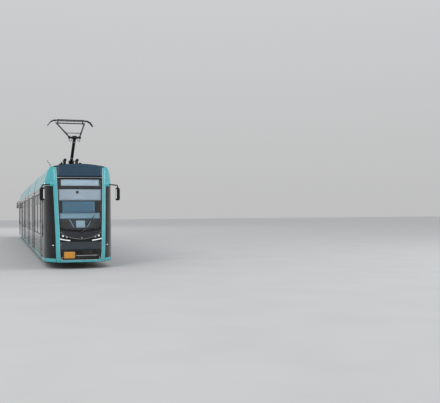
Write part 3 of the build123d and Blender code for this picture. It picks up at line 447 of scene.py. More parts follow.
def skin_material(name):
    """Side walls: teal skirt and cant rail, black gloss between, pale lining inside."""
    n = Finish(name, 0.14, coat=0.08, Specular_IOR_Level=0.16)
    x, _, z = n.xyz()
    outward = n.math("MULTIPLY", x, n.xyz("Normal")[0])
    inside = n.math("LESS_THAN", outward, -0.3)
    teal = n.math("ADD", n.math("LESS_THAN", z, 0.36), n.math("GREATER_THAN", z, 2.86), clamp=True)
    spots = n.spots(2.5, 4.0)
    black = n.mottled(spots, sizes().side_black, 1.5)
    paint = n.mottled(spots, sizes().livery, 0.88)
    dirt = n.dirt(0.2, 1.2, n.spots(6.0, 5.0, 0.38, 0.72, (1, 1, 0.25)), 0.10)
    base = n.mix(dirt, n.mix(teal, black, paint), DUST)
    n.set("Base Color", n.mix(inside, base, LINING))
    rough = n.math("ADD", 0.10, n.math("MULTIPLY", dirt, 0.9))
    n.set("Roughness", n.math("ADD", rough, n.math("MULTIPLY", inside, 0.35), clamp=True))
    n.bump(n.noise(1.4, 2.0), 0.25, 0.004)
    return n.mat


def roof_material(name):
    """Roof: teal cheeks, grey deck and boxes, pale ceiling, black brow over the windscreen."""
    n = Finish(name, 0.3, coat=0.3)
    x, y, z = n.xyz()
    across = n.math("ABSOLUTE", x)
    far = n.math("ABSOLUTE", y)
    wide = n.math("GREATER_THAN", across, 0.856)
    down = n.math("LESS_THAN", n.xyz("Normal")[2], -0.2)
    ceiling = n.math("MULTIPLY", down, n.math("LESS_THAN", z, 3.2))
    face = n.math("GREATER_THAN", far, -NOSE - NOSE_LENGTH + 0.25)
    brow = n.math("MULTIPLY", face, n.math("LESS_THAN", across, 0.80))
    spots = n.spots(2.0, 5.0, 0.35)
    deck = n.mix(spots, (0.25, 0.26, 0.27), (0.17, 0.17, 0.17))
    paint = n.mottled(spots, sizes().livery, 0.85)
    base = n.mix(wide, deck, paint)
    base = n.mix(n.math("GREATER_THAN", far, -NOSE - NOSE_LENGTH), base, paint)
    base = n.mix(brow, base, BLACK)
    n.set("Base Color", n.mix(ceiling, base, (0.7, 0.7, 0.68)))
    plain = n.math("SUBTRACT", 1.0, wide)
    n.set("Roughness", n.math("ADD", 0.22, n.math("MULTIPLY", plain, 0.3)))
    n.bump(n.noise(40.0, 3.0), 0.08, 0.002)
    return n.mat


def mask_material(name):
    """Mask shell: black gloss, teal where it turns onto the roof's shoulders."""
    n = Finish(name, 0.13, coat=0.15, Specular_IOR_Level=0.22)
    sideways = n.math("GREATER_THAN", n.math("ABSOLUTE", n.xyz("Normal")[0]), 0.45)
    teal = n.math("MULTIPLY", sideways, n.math("GREATER_THAN", n.xyz()[2], 2.86))
    spots = n.spots(2.5, 4.0)
    black = n.mix(spots, (0.006, 0.008, 0.012), (0.010, 0.012, 0.016))
    n.set("Base Color", n.mix(teal, black, n.mottled(spots, sizes().livery, 0.88)))
    n.bump(n.noise(60.0, 3.0), 0.04, 0.001)
    return n.mat


def glass_material(name, tint, ior=1.45):
    """Tinted glass; the windscreen is clearer than the side panes."""
    n = Finish(name, 0.02, Transmission_Weight=1.0, IOR=ior)
    n.set("Base Color", n.mottled(n.spots(2.2, 3.0, 0.35), tint, 0.94))
    n.bump(n.noise(0.8, 1.0), 0.10, 0.008)
    return n.mat


def floor_material(name):
    """Underframe: dark below, speckled grey covering on top."""
    n = Finish(name, 0.6)
    top = n.math("GREATER_THAN", n.xyz("Normal")[2], 0.5)
    cover = n.mix(n.spots(180.0, 1.0, 0.55, 0.62), (0.16, 0.17, 0.19), (0.34, 0.35, 0.37))
    under = n.mix(n.spots(5.0, 5.0, 0.4), (0.05, 0.05, 0.052), (0.16, 0.13, 0.10))
    n.set("Base Color", n.mix(top, under, cover))
    n.bump(n.noise(30.0, 3.0), 0.2, 0.003)
    return n.mat


def wheel_material(name):
    """Wheel steel with patches of rusty dust."""
    n = Finish(name, 0.35, 0.85)
    rust = n.spots(9.0, 5.0, 0.35, 0.65)
    n.set("Base Color", n.mix(rust, (0.30, 0.28, 0.27), (0.16, 0.11, 0.08)))
    n.set("Roughness", n.math("ADD", 0.3, n.math("MULTIPLY", rust, 0.3)))
    n.bump(n.noise(70.0, 3.0), 0.1, 0.001)
    return n.mat


def cloth_material(name, colour, weave, rough):
    """Woven or coated cloth."""
    n = Finish(name, rough, Sheen_Weight=0.15)
    n.set("Base Color", n.mottled(n.spots(4.0, 4.0), colour, 0.75))
    n.bump(n.noise(weave, 2.0), 0.25, 0.001)
    return n.mat


def lit_material(name, colour, strength, rough=0.25):
    """A lamp face that gives light of its own, or a form behind the glass that is no lamp and whose glow is
    painted light.
    """
    n = Finish(name, rough, coat=0.5, Emission_Color=colour, Emission_Strength=strength)
    n.set("Base Color", n.mottled(n.spots(25.0, 2.0), colour, 0.93))
    return n.mat


def make_materials():
    """All the finishes of the tram."""
    dim = {"Specular_IOR_Level": 0.22}
    livery = sizes().livery
    side_black = sizes().side_black
    MATS.update(
        skin=skin_material("side_skin"),
        roof=roof_material("roof_paint"),
        mask=mask_material("mask_black"),
        floor=floor_material("floor_pan"),
        wheel=wheel_material("wheel_steel"),
        glass=glass_material("tinted_glass", (0.26, 0.29, 0.31), 1.28),
        screen=glass_material("windscreen_glass", (0.86, 0.91, 0.93)),
        seat=cloth_material("seat_cloth", (0.035, 0.085, 0.13), 220.0, 0.85),
        bellows=cloth_material("bellows_cloth", (0.055, 0.057, 0.062), 90.0, 0.75),
        teal=painted("teal_gloss", livery, 0.2, coat=0.6, dust=0.25),
        black=painted("black_gloss", side_black, 0.13, coat=0.1, dust=0.3, **dim),
        header=painted("header_slate", (0.028, 0.068, 0.112), 0.16, coat=0.15, **dim),
        # Pale copy of the livery: a painted highlight along the frame's inner edge
        lip=painted("frame_lip", (0.55, 0.78, 0.80), 0.25, coat=0.4, dust=0.1),
        # Nose panel and bumper: dark grey paint, tinted blue as a painted reflection of the sky
        panel=painted("nose_grey", (0.026, 0.033, 0.042), 0.22, coat=0.3, dust=0.1, **dim),
        bumper=painted("bumper_grey", (0.050, 0.062, 0.074), 0.36, dust=0.12, **dim),
        matt=painted("matt_black", (0.014, 0.014, 0.015), 0.62, dust=0.3, bump=0.2),
        rubber=painted("seal_rubber", (0.016, 0.016, 0.017), 0.75, dust=0.25, bump=0.2),
        silver=painted("bright_trim", (0.62, 0.63, 0.64), 0.22, metal=0.9, dust=0.1),
        white=painted("white_gloss", (0.78, 0.80, 0.80), 0.25, coat=0.4, dust=0.1),
        steel=painted("brushed_steel", (0.48, 0.48, 0.47), 0.32, metal=0.95, dust=0.1),
        zinc=painted("zinc_grey", (0.33, 0.34, 0.35), 0.45, metal=0.6, dust=0.1),
        box=painted("roof_box_grey", (0.36, 0.37, 0.38), 0.45),
        bogie=painted("bogie_grey", (0.045, 0.045, 0.048), 0.55, dust=0.7, bump=0.2),
        spring=painted("spring_rubber", (0.02, 0.02, 0.02), 0.7, dust=0.5, bump=0.2),
        pan=painted("pantograph_dark", (0.012, 0.014, 0.020), 0.42, **dim),
        carbon=painted("carbon_strip", (0.02, 0.02, 0.021), 0.5, bump=0.15),
        insulator=painted("insulator_brown", (0.16, 0.045, 0.03), 0.22, coat=0.5),
        copper=painted("braid_copper", (0.20, 0.11, 0.07), 0.45, metal=0.8, grain=300.0, bump=0.3),
        plate=painted("plate_orange", (0.80, 0.36, 0.035), 0.4, dust=0.1),
        lining=painted("lining_grey", LINING, 0.5),
        # Desk: dark grey, tinted blue as a painted reflection of the sky
        desk=painted("desk_dark", (0.034, 0.046, 0.058), 0.55, bump=0.15),
        mirror=painted("mirror_glass", (0.75, 0.77, 0.78), 0.04, metal=1.0, bump=0.0),
        # Hood, blind, visor, sign and pale screen are no lamps: their glow is painted light, standing in for
        # daylight and sky reflection behind the windscreen
        hood=lit_material("hood_bluegrey", (0.25, 0.41, 0.52), 0.42, 0.45),
        blind=lit_material("blind_cloth", (0.54, 0.62, 0.71), 0.26, 0.8),
        visor=lit_material("visor_blue", (0.048, 0.165, 0.26), 0.32, 0.3),
        sign=lit_material("sign_face", (0.47, 0.58, 0.68), 0.42, 0.35),
        screen_pale=lit_material("screen_pale", (0.46, 0.64, 0.76), 0.24, 0.3),
        lamp=lit_material("lamp_white", (0.90, 0.93, 0.95), 0.30),
        lamp_soft=lit_material("lamp_grey", (0.42, 0.45, 0.47), 0.05),
        red=lit_material("lamp_red", (0.50, 0.02, 0.02), 0.25),
        amber=lit_material("lamp_amber", (0.75, 0.28, 0.03), 0.1),
        ceiling_light=lit_material("ceiling_light", (0.9, 0.92, 0.9), 1.2),
    )


# What the names of the frame's nodes start or end with, by finish
CAD_FINISH = {
    "skin": ("_sides",),
    "roof": ("_roof",),
    "floor": ("_floor",),
    "mask": ("_front",),
    "glass": ("_glass",),
    "black": ("_doors",),
    "steel": ("_seats",),
    "desk": ("_cab_fit",),
    "lamp": ("_lamps",),
    "matt": ("_mirrors", "_wiper"),
    "bogie": ("_bogie",),
    "wheel": ("_wheelset_1", "_wheelset_2"),
    "pan": ("pan_",),
    "bellows": ("bellows_",),
}


def finish_frame():
    """Gives every frame node its finish."""
    for name, obj in NODES.items():
        for mat, keys in CAD_FINISH.items():
            if name.endswith(keys) or name.startswith(keys):
                obj.data.materials.clear()
                obj.data.materials.append(MATS[mat])
                break
        else:
            raise RuntimeError(f"no finish for {name}")


def pair(x, z, lift, thick, surf=nose_at):
    """Outer and inner point of a thin form on a surface."""
    return surf(x, z, lift), surf(x, z, lift - thick)


def patch(build, xs, zs, lift, thick, mat):
    """A thin panel on the face between two sides; zs(x) gives its lower and upper edge."""
    grid = []
    for v in spread(0, 1, 6):
        row = []
        for x in spread(*xs, 24):
            low, high = zs(x)
            row.append(pair(x, low + (high - low) * v, lift, thick))
        grid.append(row)
    build.sheet(grid, mat)


def strip(build, path, width, lift, thick, mat, closed=False, surf=nose_at):
    """A flat band on a surface along a path, half its width each side."""
    before = path[-1:] + path if closed else path[:1] + path
    after = path[1:] + (path[:1] if closed else path[-1:])
    grid = []
    for (px, pz), (x, z), (qx, qz) in zip(before, path, after):
        reach = width / 2 / max(math.hypot(qx - px, qz - pz), 1e-6)
        dx, dz = -(qz - pz) * reach, (qx - px) * reach
        grid.append([pair(x + s * dx, z + s * dz, lift, thick, surf) for s in (1, -1)])
    if closed:
        grid.append(grid[0])
    build.sheet(grid, mat)


def arc(side_z, mid_z, half):
    """An edge on one arc: side_z at plus and minus half, mid_z in the middle."""
    rise = side_z - mid_z
    radius = (half * half + rise * rise) / (2 * abs(rise))
    sign = math.copysign(1, rise)
    return lambda x: mid_z + sign * (radius - math.sqrt(radius ** 2 - min(abs(x), half) ** 2))


def top_edge(x):
    """Height of the arched top edge of the mask."""
    return 3.51 + 0.11 * (1 - (x / 0.985) ** 2)


screen_low = arc(SCREEN_LOW, SCREEN_LOW - SCREEN_SAG, SCREEN_LOW_HALF)


def screen_half(share):
    """Half width of the windscreen, from its foot at 0 to its top at 1."""
    return SCREEN_LOW_HALF + (SCREEN_TOP_HALF - SCREEN_LOW_HALF) * share


def ring_side(z, side):
    """Points across the frame at one height, from the nose's side round to the face."""
    setback, half, bulge = nose_row(z)
    corner = setback + bulge
    rows = []
    for deep in (0.0, RING_THICK):
        outside = ((0.0565, 0.001), (0.05, RING_LIFT), (0.014, 0.0128))
        points = [nose_side(corner + u, z, lift - deep) for u, lift in outside]
        lift = RING_LIFT - deep
        points.append((nose_side(corner, z, lift) + nose_at(half, z, lift)) / 2)
        inside = ((0.014, 0.0128), (0.066, RING_LIFT), (0.074, 0.009), (0.0755, 0.001))
        points += [nose_at(half - x, z, lift - deep) for x, lift in inside]
        rows.append([mirrored(p, side) for p in points])
    return list(zip(*rows))


def ring_lip():
    """Inner edge of the frame, from its top left corner round its foot."""
    inset = 0.079
    r = RING_CORNER
    low = SKIRT + inset
    half = nose_row(0.3)[1] - inset
    path = [(inset - nose_row(z)[1], z) for z in [3.49 - 0.1 * i for i in range(32)]]
    path += [(r - half - r * math.cos(a), low + r - r * math.sin(a)) for a in spread(0, math.pi / 2, 8)]
    path += [(x, low) for x in spread(r - half, 0, 12)[1:]]
    return path + [(-x, z) for x, z in reversed(path[:-1])]


def face_frame(s):
    """Frame round the mask, wrapped round its corners, with its inner lip in pale teal, a painted highlight.
    """
    b = Build()
    r = RING_CORNER
    inner = nose_row(0.3)[1] - r

    def foot(x):
        fall = math.sqrt(max(r ** 2 - (abs(x) - inner + r) ** 2, 0))
        return SKIRT + r, max(SKIRT + 2 * r - fall, SKIRT + r + 0.001)

    for side in (-1, 1):
        b.sheet([ring_side(z, side) for z in spread(SKIRT + 0.001, 3.5, 44)], "teal")
        patch(b, sorted((side * inner, side * (inner - r))), foot, RING_LIFT, RING_THICK, "teal")
    half = nose_row(0.25)[1] - 0.074
    patch(b, (-half, half), lambda x: (SKIRT + 0.001, SKIRT + 0.0765), RING_LIFT, RING_THICK, "teal")
    # Inner lip in pale teal: a painted highlight
    strip(b, ring_lip(), 0.012, 0.016, RING_THICK, "lip")
    b.seat(s, "face_frame", "roof_paint")


def face_panels(s):
    """Header, nose, bumper and lower panels, each a little proud with open seams."""
    b = Build()
    smile = arc(1.265, 1.03, 0.70)
    patch(b, (-0.777, 0.777), lambda x: (3.168, top_edge(x) - 0.010), 0.0105, 0.02, "header")
    patch(b, (-0.775, 0.775), lambda x: (3.122, 3.134), 0.012, 0.02, "silver")
    patch(b, (-0.701, 0.701), lambda x: (smile(x), screen_low(x) - 0.048), 0.011, 0.02, "panel")
    patch(b, (-0.695, 0.695), lambda x: (smile(x) - 0.013, smile(x) - 0.003), 0.012, 0.02, "silver")
    patch(b, (-0.707, 0.707), lambda x: (0.664, 0.926), 0.0125, 0.02, "bumper")
    patch(b, (-0.70, 0.70), lambda x: (0.893, 0.899), 0.0135, 0.01, "matt")
    patch(b, (-0.661, 0.661), lambda x: (0.324, 0.646), 0.0095, 0.02, "black")
    patch(b, (-0.176, 0.562), lambda x: (0.452, 0.472), 0.0145, 0.015, "silver")
    patch(b, (-0.572, -0.213), lambda x: (0.368, 0.590), 0.0165, 0.012, "plate")
    strip(b, rounded(-0.572, -0.213, 0.368, 0.590, 0.02), 0.008, 0.019, 0.01, "zinc", closed=True)
    strip(b, rounded(-0.08, 0.30, 0.335, 0.43, 0.02), 0.006, 0.0108, 0.004, "matt", closed=True)
    b.seat(s, "face_panels", "mask_black")


def bend(cx, cz, r, start, stop, n):
    """Points of an arc between two angles in degrees."""
    turns = [math.radians(a) for a in spread(start, stop, n)]
    return [(cx + r * math.cos(a), cz + r * math.sin(a)) for a in turns]


def rounded(x0, x1, z0, z1, r):
    """A rounded rectangle as a closed list of points."""
    points = []
    for cx, cz, start in (
        (x1 - r, z0 + r, -90),
        (x1 - r, z1 - r, 0),
        (x0 + r, z1 - r, 90),
        (x0 + r, z0 + r, 180),
    ):
        points += bend(cx, cz, r, start, start + 90, 4)
    return points


def face_spot(x, z, lift=0.0):
    """A point on the face and the outward direction there."""
    e = 0.01
    dx = nose_at(x + e, z) - nose_at(x - e, z)
    dz = nose_at(x, z + e) - nose_at(x, z - e)
    return nose_at(x, z, lift), dx.cross(dz).normalized()


def face_lamps(s):
    """Headlamps with bezels and reflectors, light strips and hooks."""
    b = Build()
    tail = "red" if s.turn else "lamp_soft"
    for side in (-1, 1):
        for x, z, r, mat in LAMPS:
            for sides, finish, profile in (
                (28, "matt", ((-0.02, 1.3), (0.013, 1.3), (0.018, 1.2), (0.018, 1.05), (0.002, 1.02))),
                (28, "zinc", ((-0.02, 1), (0.008, 0.98), (0.008, 0.9))),
                (28, "lamp_soft", ((-0.01, 0.9), (0.009, 0.88), (0.010, 0.45))),
                (20, mat or tail, ((0.0, 0.55), (0.012, 0.55), (0.016, 0.3), (0.017, 0))),
            ):
                b.revolve([(d, r * k) for d, k in profile], *face_spot(side * x, z), finish, sides)
        path = [(side * (0.365 + 0.34 * t), 0.975 + 0.058 * t ** 1.6) for t in spread(0, 1, 16)]
        strip(b, path, 0.034, 0.0145, 0.02, "lamp")
        strip(b, path, 0.052, 0.0095, 0.02, "matt")
        for x, z in ((0.62, 0.395), (0.628, 0.345)):
            hook = [(-0.02, 0.020), (0.018, 0.020), (0.026, 0.016), (0.026, 0.0)]
            b.revolve(hook, *face_spot(side * x, z), "zinc", 16)
    knob = [(-0.01, 0.026), (0.016, 0.026), (0.023, 0.018), (0.024, 0)]
    b.revolve(knob, *face_spot(0.02, 1.06), "zinc", 20)
    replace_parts(b.seat(s, "face_lamps", "lamp_lens"), f"{s.name}_lamps")


def windscreen(s):
    """One curved pane with its dark border and seal."""
    b = Build()
    grid = []
    for t in spread(0, 1, 24):
        row = []
        for x in spread(-screen_half(t), screen_half(t), 32):
            low = screen_low(x)
            row.append(pair(x, low + (SCREEN_TOP - low) * t, 0.001, 0.025))
        grid.append(row)
    b.sheet(grid, "screen")
    strip(b, screen_path(0.014), 0.030, 0.0025, 0.003, "black", closed=True)
    strip(b, screen_path(-0.006), 0.016, 0.006, 0.012, "rubber", closed=True)
    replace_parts(b.seat(s, "windscreen", "tinted_glass"), f"{s.name}_glass")


def screen_path(inset):
    """Closed outline of the windscreen in front view, shrunk by an inset."""
    r = 0.06
    top = SCREEN_TOP - inset
    half = SCREEN_LOW_HALF - inset
    right = [(x, screen_low(x) + inset) for x in spread(0, half * 0.9, 12)]
    low = screen_low(half) + inset
    right += bend(half - r, low + r, r, -70, 0, 4)[1:]
    for z in spread(low + r, top - r, 24)[1:-1]:
        share = (z - SCREEN_LOW) / (SCREEN_TOP - SCREEN_LOW)
        right.append((screen_half(share) - inset, z))
    high = SCREEN_TOP_HALF - inset - r
    right += bend(high, top - r, r, 0, 90, 5)
    right += [(x, top) for x in spread(high, 0, 12)[1:]]
    return right + [(-x, z) for x, z in reversed(right[1:-1])]


def cab_interior(s):
    """What shows behind the windscreen: sign, blind, visor, hood, screen and desk top; the glow of all but
    the desk top is painted light.
    """
    b = Build()

    def curtain(x0, x1, z0, z1, depth, mat, thick=0.012):
        b.sheet([[pair(x, z, -depth, thick) for x in spread(x0, x1, 16)] for z in spread(z0, z1, 4)], mat)

    curtain(-0.74, 0.74, 2.765, 3.10, 0.062, "matt", 0.05)
    curtain(-0.64, 0.66, 2.845, 3.05, 0.052, "sign", 0.02)
    curtain(-0.74, 0.74, 2.725, 2.745, 0.050, "matt", 0.02)
    curtain(-0.745, 0.735, 2.34, 2.72, 0.055, "blind")
    curtain(-0.745, 0.735, 2.318, 2.342, 0.050, "matt", 0.02)
    curtain(-0.61, 0.49, 1.91, 2.312, 0.060, "visor", 0.008)
    b.tube([nose_at(x, 1.91, -0.066) for x in (-0.61, -0.3, 0.0, 0.25, 0.49)], 0.008, "matt")
    b.revolve([(-0.01, 0.05), (0.01, 0.05), (0.012, 0.0)], *face_spot(-0.10, 2.62, -0.045), "matt", 20)
    curtain(-0.67, 0.67, 1.715, 1.905, 0.14, "hood", 0.03)
    curtain(-0.68, 0.66, 1.36, 1.712, 0.12, "desk", 0.03)
    curtain(-0.148, 0.148, 1.402, 1.645, 0.112, "screen_pale", 0.02)
    for side in (-1, 1):
        curtain(*sorted((side * 0.42, side * 0.62)), 1.44, 1.64, 0.113, "matt", 0.01)
        edge = [(side * (0.37 - 0.14 * t), 1.69 - 0.27 * t) for t in spread(0, 1, 4)]
        strip(b, edge, 0.022, -0.105, 0.01, "hood")
    desk = []
    for t in spread(0, 1, 3):
        row = []
        for x in spread(-0.70 - 0.08 * t, 0.70 + 0.08 * t, 16):
            y = nose_at(min(abs(x), 0.70), 1.34).y * (1 - t) + t * (NOSE + 0.72) + 0.05
            top = Vector((x, y, 1.34 + 0.03 * math.sin(t * 3.1)))
            row.append((top, top - Vector((0, 0, 0.03))))
        desk.append(row)
    b.sheet(desk, "desk")
    b.seat(s, "cab_fittings", "desk_plastic")


def wiper_set(s):
    """Wiper arm, its boss, spring and blade."""
    b = Build()
    foot, out = face_spot(0.02, 1.27, 0.038)
    top = nose_at(0.485, 1.85, 0.042)
    mid = foot + (top - foot) * 0.45
    b.revolve([(-0.035, 0.034), (0.010, 0.034), (0.016, 0.026), (0.020, 0.0)], foot, out, "matt", 20)
    b.tube([foot + out * 0.008, mid + out * 0.012, top], 0.011, "matt", 10)
    spring = [foot + out * 0.002 + Vector((0.02, 0, -0.004)), mid + Vector((0.018, 0, -0.006))]
    b.tube(spring, 0.006, "silver")
    ends = list(zip(spread(0.07, 0.57, 14), spread(1.33, 1.95, 14)))
    b.tube([nose_at(x, z, 0.010) for x, z in ends], 0.006, "rubber", 6)
    b.tube([nose_at(x, z, 0.021) for x, z in ends], 0.008, "matt")
    b.revolve([(-0.015, 0.022), (0.012, 0.022), (0.018, 0.012), (0.019, 0.0)], top, out, "silver", 16)
    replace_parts(b.seat(s, "wiper_set", "wiper_black"), f"{s.name}_wiper")


def mirror_set(s):
    """Mirror housings with a white strip, their arms and their root blocks."""
    b = Build()
    y = NOSE + 0.20
    for side in (-1, 1):
        cx = side * 1.282
        rings = []
        for z, k in ((2.335, 0.55), (2.355, 0.86), (2.42, 1.0), (2.70, 1.0), (2.755, 0.88), (2.785, 0.6)):
            ring = []
            for way in compass(20):
                dx, dy = [math.copysign(abs(w) ** 0.6, w) for w in way]
                ring.append(b.bm.verts.new((cx + 0.080 * k * dx, y + 0.055 + 0.052 * k * dy, z)))
            rings.append(ring)
        b.join(rings, "black", smooth_ends=True)
        b.block(*sorted((cx - side * 0.079, cx - side * 0.042)), y - 0.004, y + 0.05, 2.40, 2.72, "white")
        b.block(cx - 0.062, cx + 0.062, y + 0.100, y + 0.109, 2.40, 2.72, "mirror")
        hang = Vector((cx, y + 0.055, 2.76))
        root = Vector((side * 0.945, y + 0.28, 2.905))
        elbow = Vector((cx - side * 0.015, y + 0.07, 2.865))
        near = elbow + (root - elbow) * 0.12
        b.tube([hang, hang + Vector((0, 0, 0.06)), elbow, near, root], 0.022, "matt", 10)
        foot = [(-0.12, 0.10), (0.0, 0.085), (0.07, 0.06), (0.09, 0.03), (0.092, 0.0)]
        b.revolve(foot, root, elbow - root, "teal", 16)
    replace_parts(b.seat(s, "mirror_set", "mirror_black"), f"{s.name}_mirrors")


def cab_skin(s):
    """Smooth skin over the curved sides of the nose."""
    b = Build()
    for side in (-1, 1):
        grid = []
        for z in [0.232, 0.30, 0.36] + spread(0.42, 2.82, 22) + [2.86, 2.948]:
            setback, _, bulge = nose_row(z)
            row = []
            for u in spread(setback + bulge + 0.058, NOSE_LENGTH + 0.012, 26):
                row.append([mirrored(p, side) for p in pair(u, z, 0.003, 0.011, nose_side)])
            grid.append(row)
        b.sheet(grid, "skin")
    b.seat(s, "nose_skin", "side_panels")


def wall_point(s, side):
    """A function that gives a point of the side wall: distance along, height, lift."""

    def point(u, z, lift=0.0):
        if s.kind == "front" and u < NOSE_LENGTH:
            return mirrored(nose_side(u, z, lift), side)
        return mirrored(Vector((HALF + lift, s.y0 + u, z)), side)

    return point


def section_trim(s):
    """Window seals, door seals, handles, thresholds, skirt seams and side lamps."""
    b = Build()
    cab = s.kind == "front"
    length = s.y1 - s.y0
    for side in (-1, 1):
        wall = wall_point(s, side)
        band = partial(strip, b, surf=wall)
        for what, start, end in s.opens:
            middle = (start + end) / 2
            if what == "window":
                low, high = WINDOW_Z
                bar = high - 0.36
                band(rounded(start, end, low, high, 0.09), 0.030, 0.0045, 0.012, "rubber", closed=True)
                band([(start + 0.06, bar), (end - 0.06, bar)], 0.018, 0.003, 0.010, "black")
                band([(middle, bar), (middle, high - 0.02)], 0.018, 0.003, 0.010, "black")
                continue
            low, high = DOOR_Z
            single = what == "leaf"
            band(rounded(start, end, low, high, 0.004), 0.030, 0.0045, 0.012, "rubber", closed=True)
            for l0, l1 in [(start, end)] if single else [(start, middle), (middle, end)]:
                light = rounded(l0 + 0.095, l1 - 0.095, low + 0.26, high - 0.095, 0.004)
                band(light, 0.022, 0.0035, 0.010, "rubber", closed=True)
                band([(l0 + 0.02, low + 0.05), (l1 - 0.02, low + 0.05)], 0.05, 0.003, 0.006, "matt")
            edge = end - 0.004 if single else middle
            band([(edge, low + 0.01), (edge, high - 0.01)], 0.024, 0.006, 0.016, "rubber")
            band([(start + 0.02, low - 0.012), (end - 0.02, low - 0.012)], 0.016, 0.008, 0.02, "silver")
            button = wall(start - 0.11, 1.25), (side, 0, 0)
            b.revolve([(-0.01, 0.036), (0.006, 0.036), (0.010, 0.030), (0.010, 0.0)], *button, "silver", 20)
            b.revolve([(0.0, 0.022), (0.014, 0.020), (0.015, 0.0)], *button, "amber", 20)
            handle = ((1.05, 0.004), (1.05, 0.03), (1.55, 0.03), (1.55, 0.004))
            b.tube([wall(start + 0.05, z, lift) for z, lift in handle], 0.010, "silver")
            band([(start + 0.2, high + 0.06), (end - 0.2, high + 0.06)], 0.022, 0.006, 0.012, "lamp")
        for u in spread(0, length, max(2, round(length / 1.3)))[1:-1]:
            if all(w == "window" or not start - 0.05 < u < end + 0.05 for w, start, end in s.opens):
                band([(u, 0.24), (u, 1.06)], 0.007, 0.0012, 0.003, "matt")
        seam = [(u, 0.362) for u in spread(0.25 if cab else 0.01, length - 0.01, 60)]
        band(seam, 0.008, 0.0045, 0.006, "matt")
        for i in range(3):
            u = 0.30 if cab and i == 0 else length * (0.5 + i) / 3
            band(rounded(u - 0.045, u + 0.045, 0.79, 0.83, 0.015), 0.012, 0.007, 0.012, "matt", closed=True)
            band([(u - 0.035, 0.81), (u + 0.035, 0.81)], 0.028, 0.008, 0.012, "amber" if i else "lamp")
        edge = [(u, 2.865) for u in spread(0.50 if cab else 0.01, length - 0.01, 60)]
        band(edge, 0.010, 0.005, 0.008, "silver")
    b.seat(s, "trim", "door_frames")


def cab_panes(s):
    """Side and door panes of a cab section."""
    b = Build()
    for side in (-1, 1):
        x0, x1 = sorted((side * (HALF - 0.003), side * (HALF - 0.028)))
        for what, start, stop in CAB_OPEN:
            (low, high), sill, rim = (WINDOW_Z, 0.002, 0.002) if what == "window" else (DOOR_Z, 0.262, 0.097)
            b.block(x0, x1, NOSE + start + rim, NOSE + stop - rim, low + sill, high - rim, "glass")
    b.seat(s, "side_panes", "tinted_glass")


def bellows_piece(name, body_a, body_b, y0, y1):
    """Folded cloth tunnel between two sections."""
    b = Build()
    low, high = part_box(name)
    r = 0.12
    thick = 0.008
    half = high.x - 0.002
    top = high.z - 0.002
    path = [(-half, z) for z in spread(low.z + 0.002, top - r, 14)]
    path += [(r * (1 - math.cos(a)) - half, top - r * (1 - math.sin(a))) for a in (0.39, 0.79, 1.18, 1.57)]
    path += [(x, top) for x in spread(r - half, half - r, 12)[1:-1]]
    path += [(-x, z) for x, z in reversed(path[:19])]
    steps = sizes().folds * 6
    grid = []
    for j, y in enumerate(spread(y0 + 0.003, y1 - 0.003, steps)):
        wave = 0.5 - 0.5 * math.cos(math.pi * j / 3)
        depth = sizes().fold_depth * wave ** 0.7
        row = []
        for p, (x, z), q in zip(path[:1] + path, path, path[1:] + path[-1:]):
            d = math.hypot(q[0] - p[0], q[1] - p[1])
            nx, nz = (q[1] - p[1]) / d, -(q[0] - p[0]) / d
            row.append([Vector((x + nx * out, y, z + nz * out)) for out in (depth, depth + thick)])
        grid.append(row)
    b.sheet(grid, "bellows")
    obj = b.finish(f"{name}_cloth", None, "bellows_rubber")
    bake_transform(obj)
    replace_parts(obj, name)


class Tree(Graph):
    """A geometry node tree that sets a form on points, with named inputs."""

    def __init__(self, name, inputs):
        super().__init__(bpy.data.node_groups.new(name, "GeometryNodeTree"))
        face = self.tree.interface
        face.new_socket("Geometry", in_out="INPUT", socket_type="NodeSocketGeometry")
        self.ids = {}
        for key, kind, value in inputs:
            sock = face.new_socket(key, in_out="INPUT", socket_type=kind)
            if value is not None:
                sock.default_value = value
            self.ids[key] = sock.identifier
        face.new_socket("Geometry", in_out="OUTPUT", socket_type="NodeSocketGeometry")
        self.given = self.node("NodeGroupInput", {}).outputs
        self.end = self.node("NodeGroupOutput", {}).inputs[0]

    def place(self, form, **more):
        """Sets the form on the points and gives it the material."""
        inputs = {"Points": self.given["Geometry"], "Instance": form, **more}
        placed = self.node("GeometryNodeInstanceOnPoints", inputs).outputs[0]
        real = self.node("GeometryNodeRealizeInstances", {0: placed}).outputs[0]
        inputs = {"Geometry": real, "Material": self.given["Material"]}
        self.link(self.node("GeometryNodeSetMaterial", inputs).outputs[0], self.end)
        return self


def bolt_tree():
    """Bolt heads on points, each along its own direction."""
    inputs = (
        ("Radius", "NodeSocketFloat", 0.012),
        ("Height", "NodeSocketFloat", 0.008),
        ("Sides", "NodeSocketInt", 6),
        ("Material", "NodeSocketMaterial", None),
    )
    t = Tree("Bolt heads", inputs)
    size = {"Vertices": t.given["Sides"], "Radius": t.given["Radius"], "Depth": t.given["Height"]}
    head = t.node("GeometryNodeMeshCylinder", size)
    out = t.node("GeometryNodeInputNamedAttribute", {"Name": "out"}, data_type="FLOAT_VECTOR")
    align = t.node("FunctionNodeAlignEulerToVector", {"Vector": out.outputs[0]}, axis="Z")
    return t.place(head.outputs["Mesh"], Rotation=align.outputs[0])


def slat_tree():
    """A thin block on each point."""
    inputs = (("Size", "NodeSocketVector", (0.1, 0.02, 0.02)), ("Material", "NodeSocketMaterial", None))
    t = Tree("Slats", inputs)
    block = t.node("GeometryNodeMeshCube", {"Size": t.given["Size"]})
    return t.place(block.outputs["Mesh"])


TREES = {}


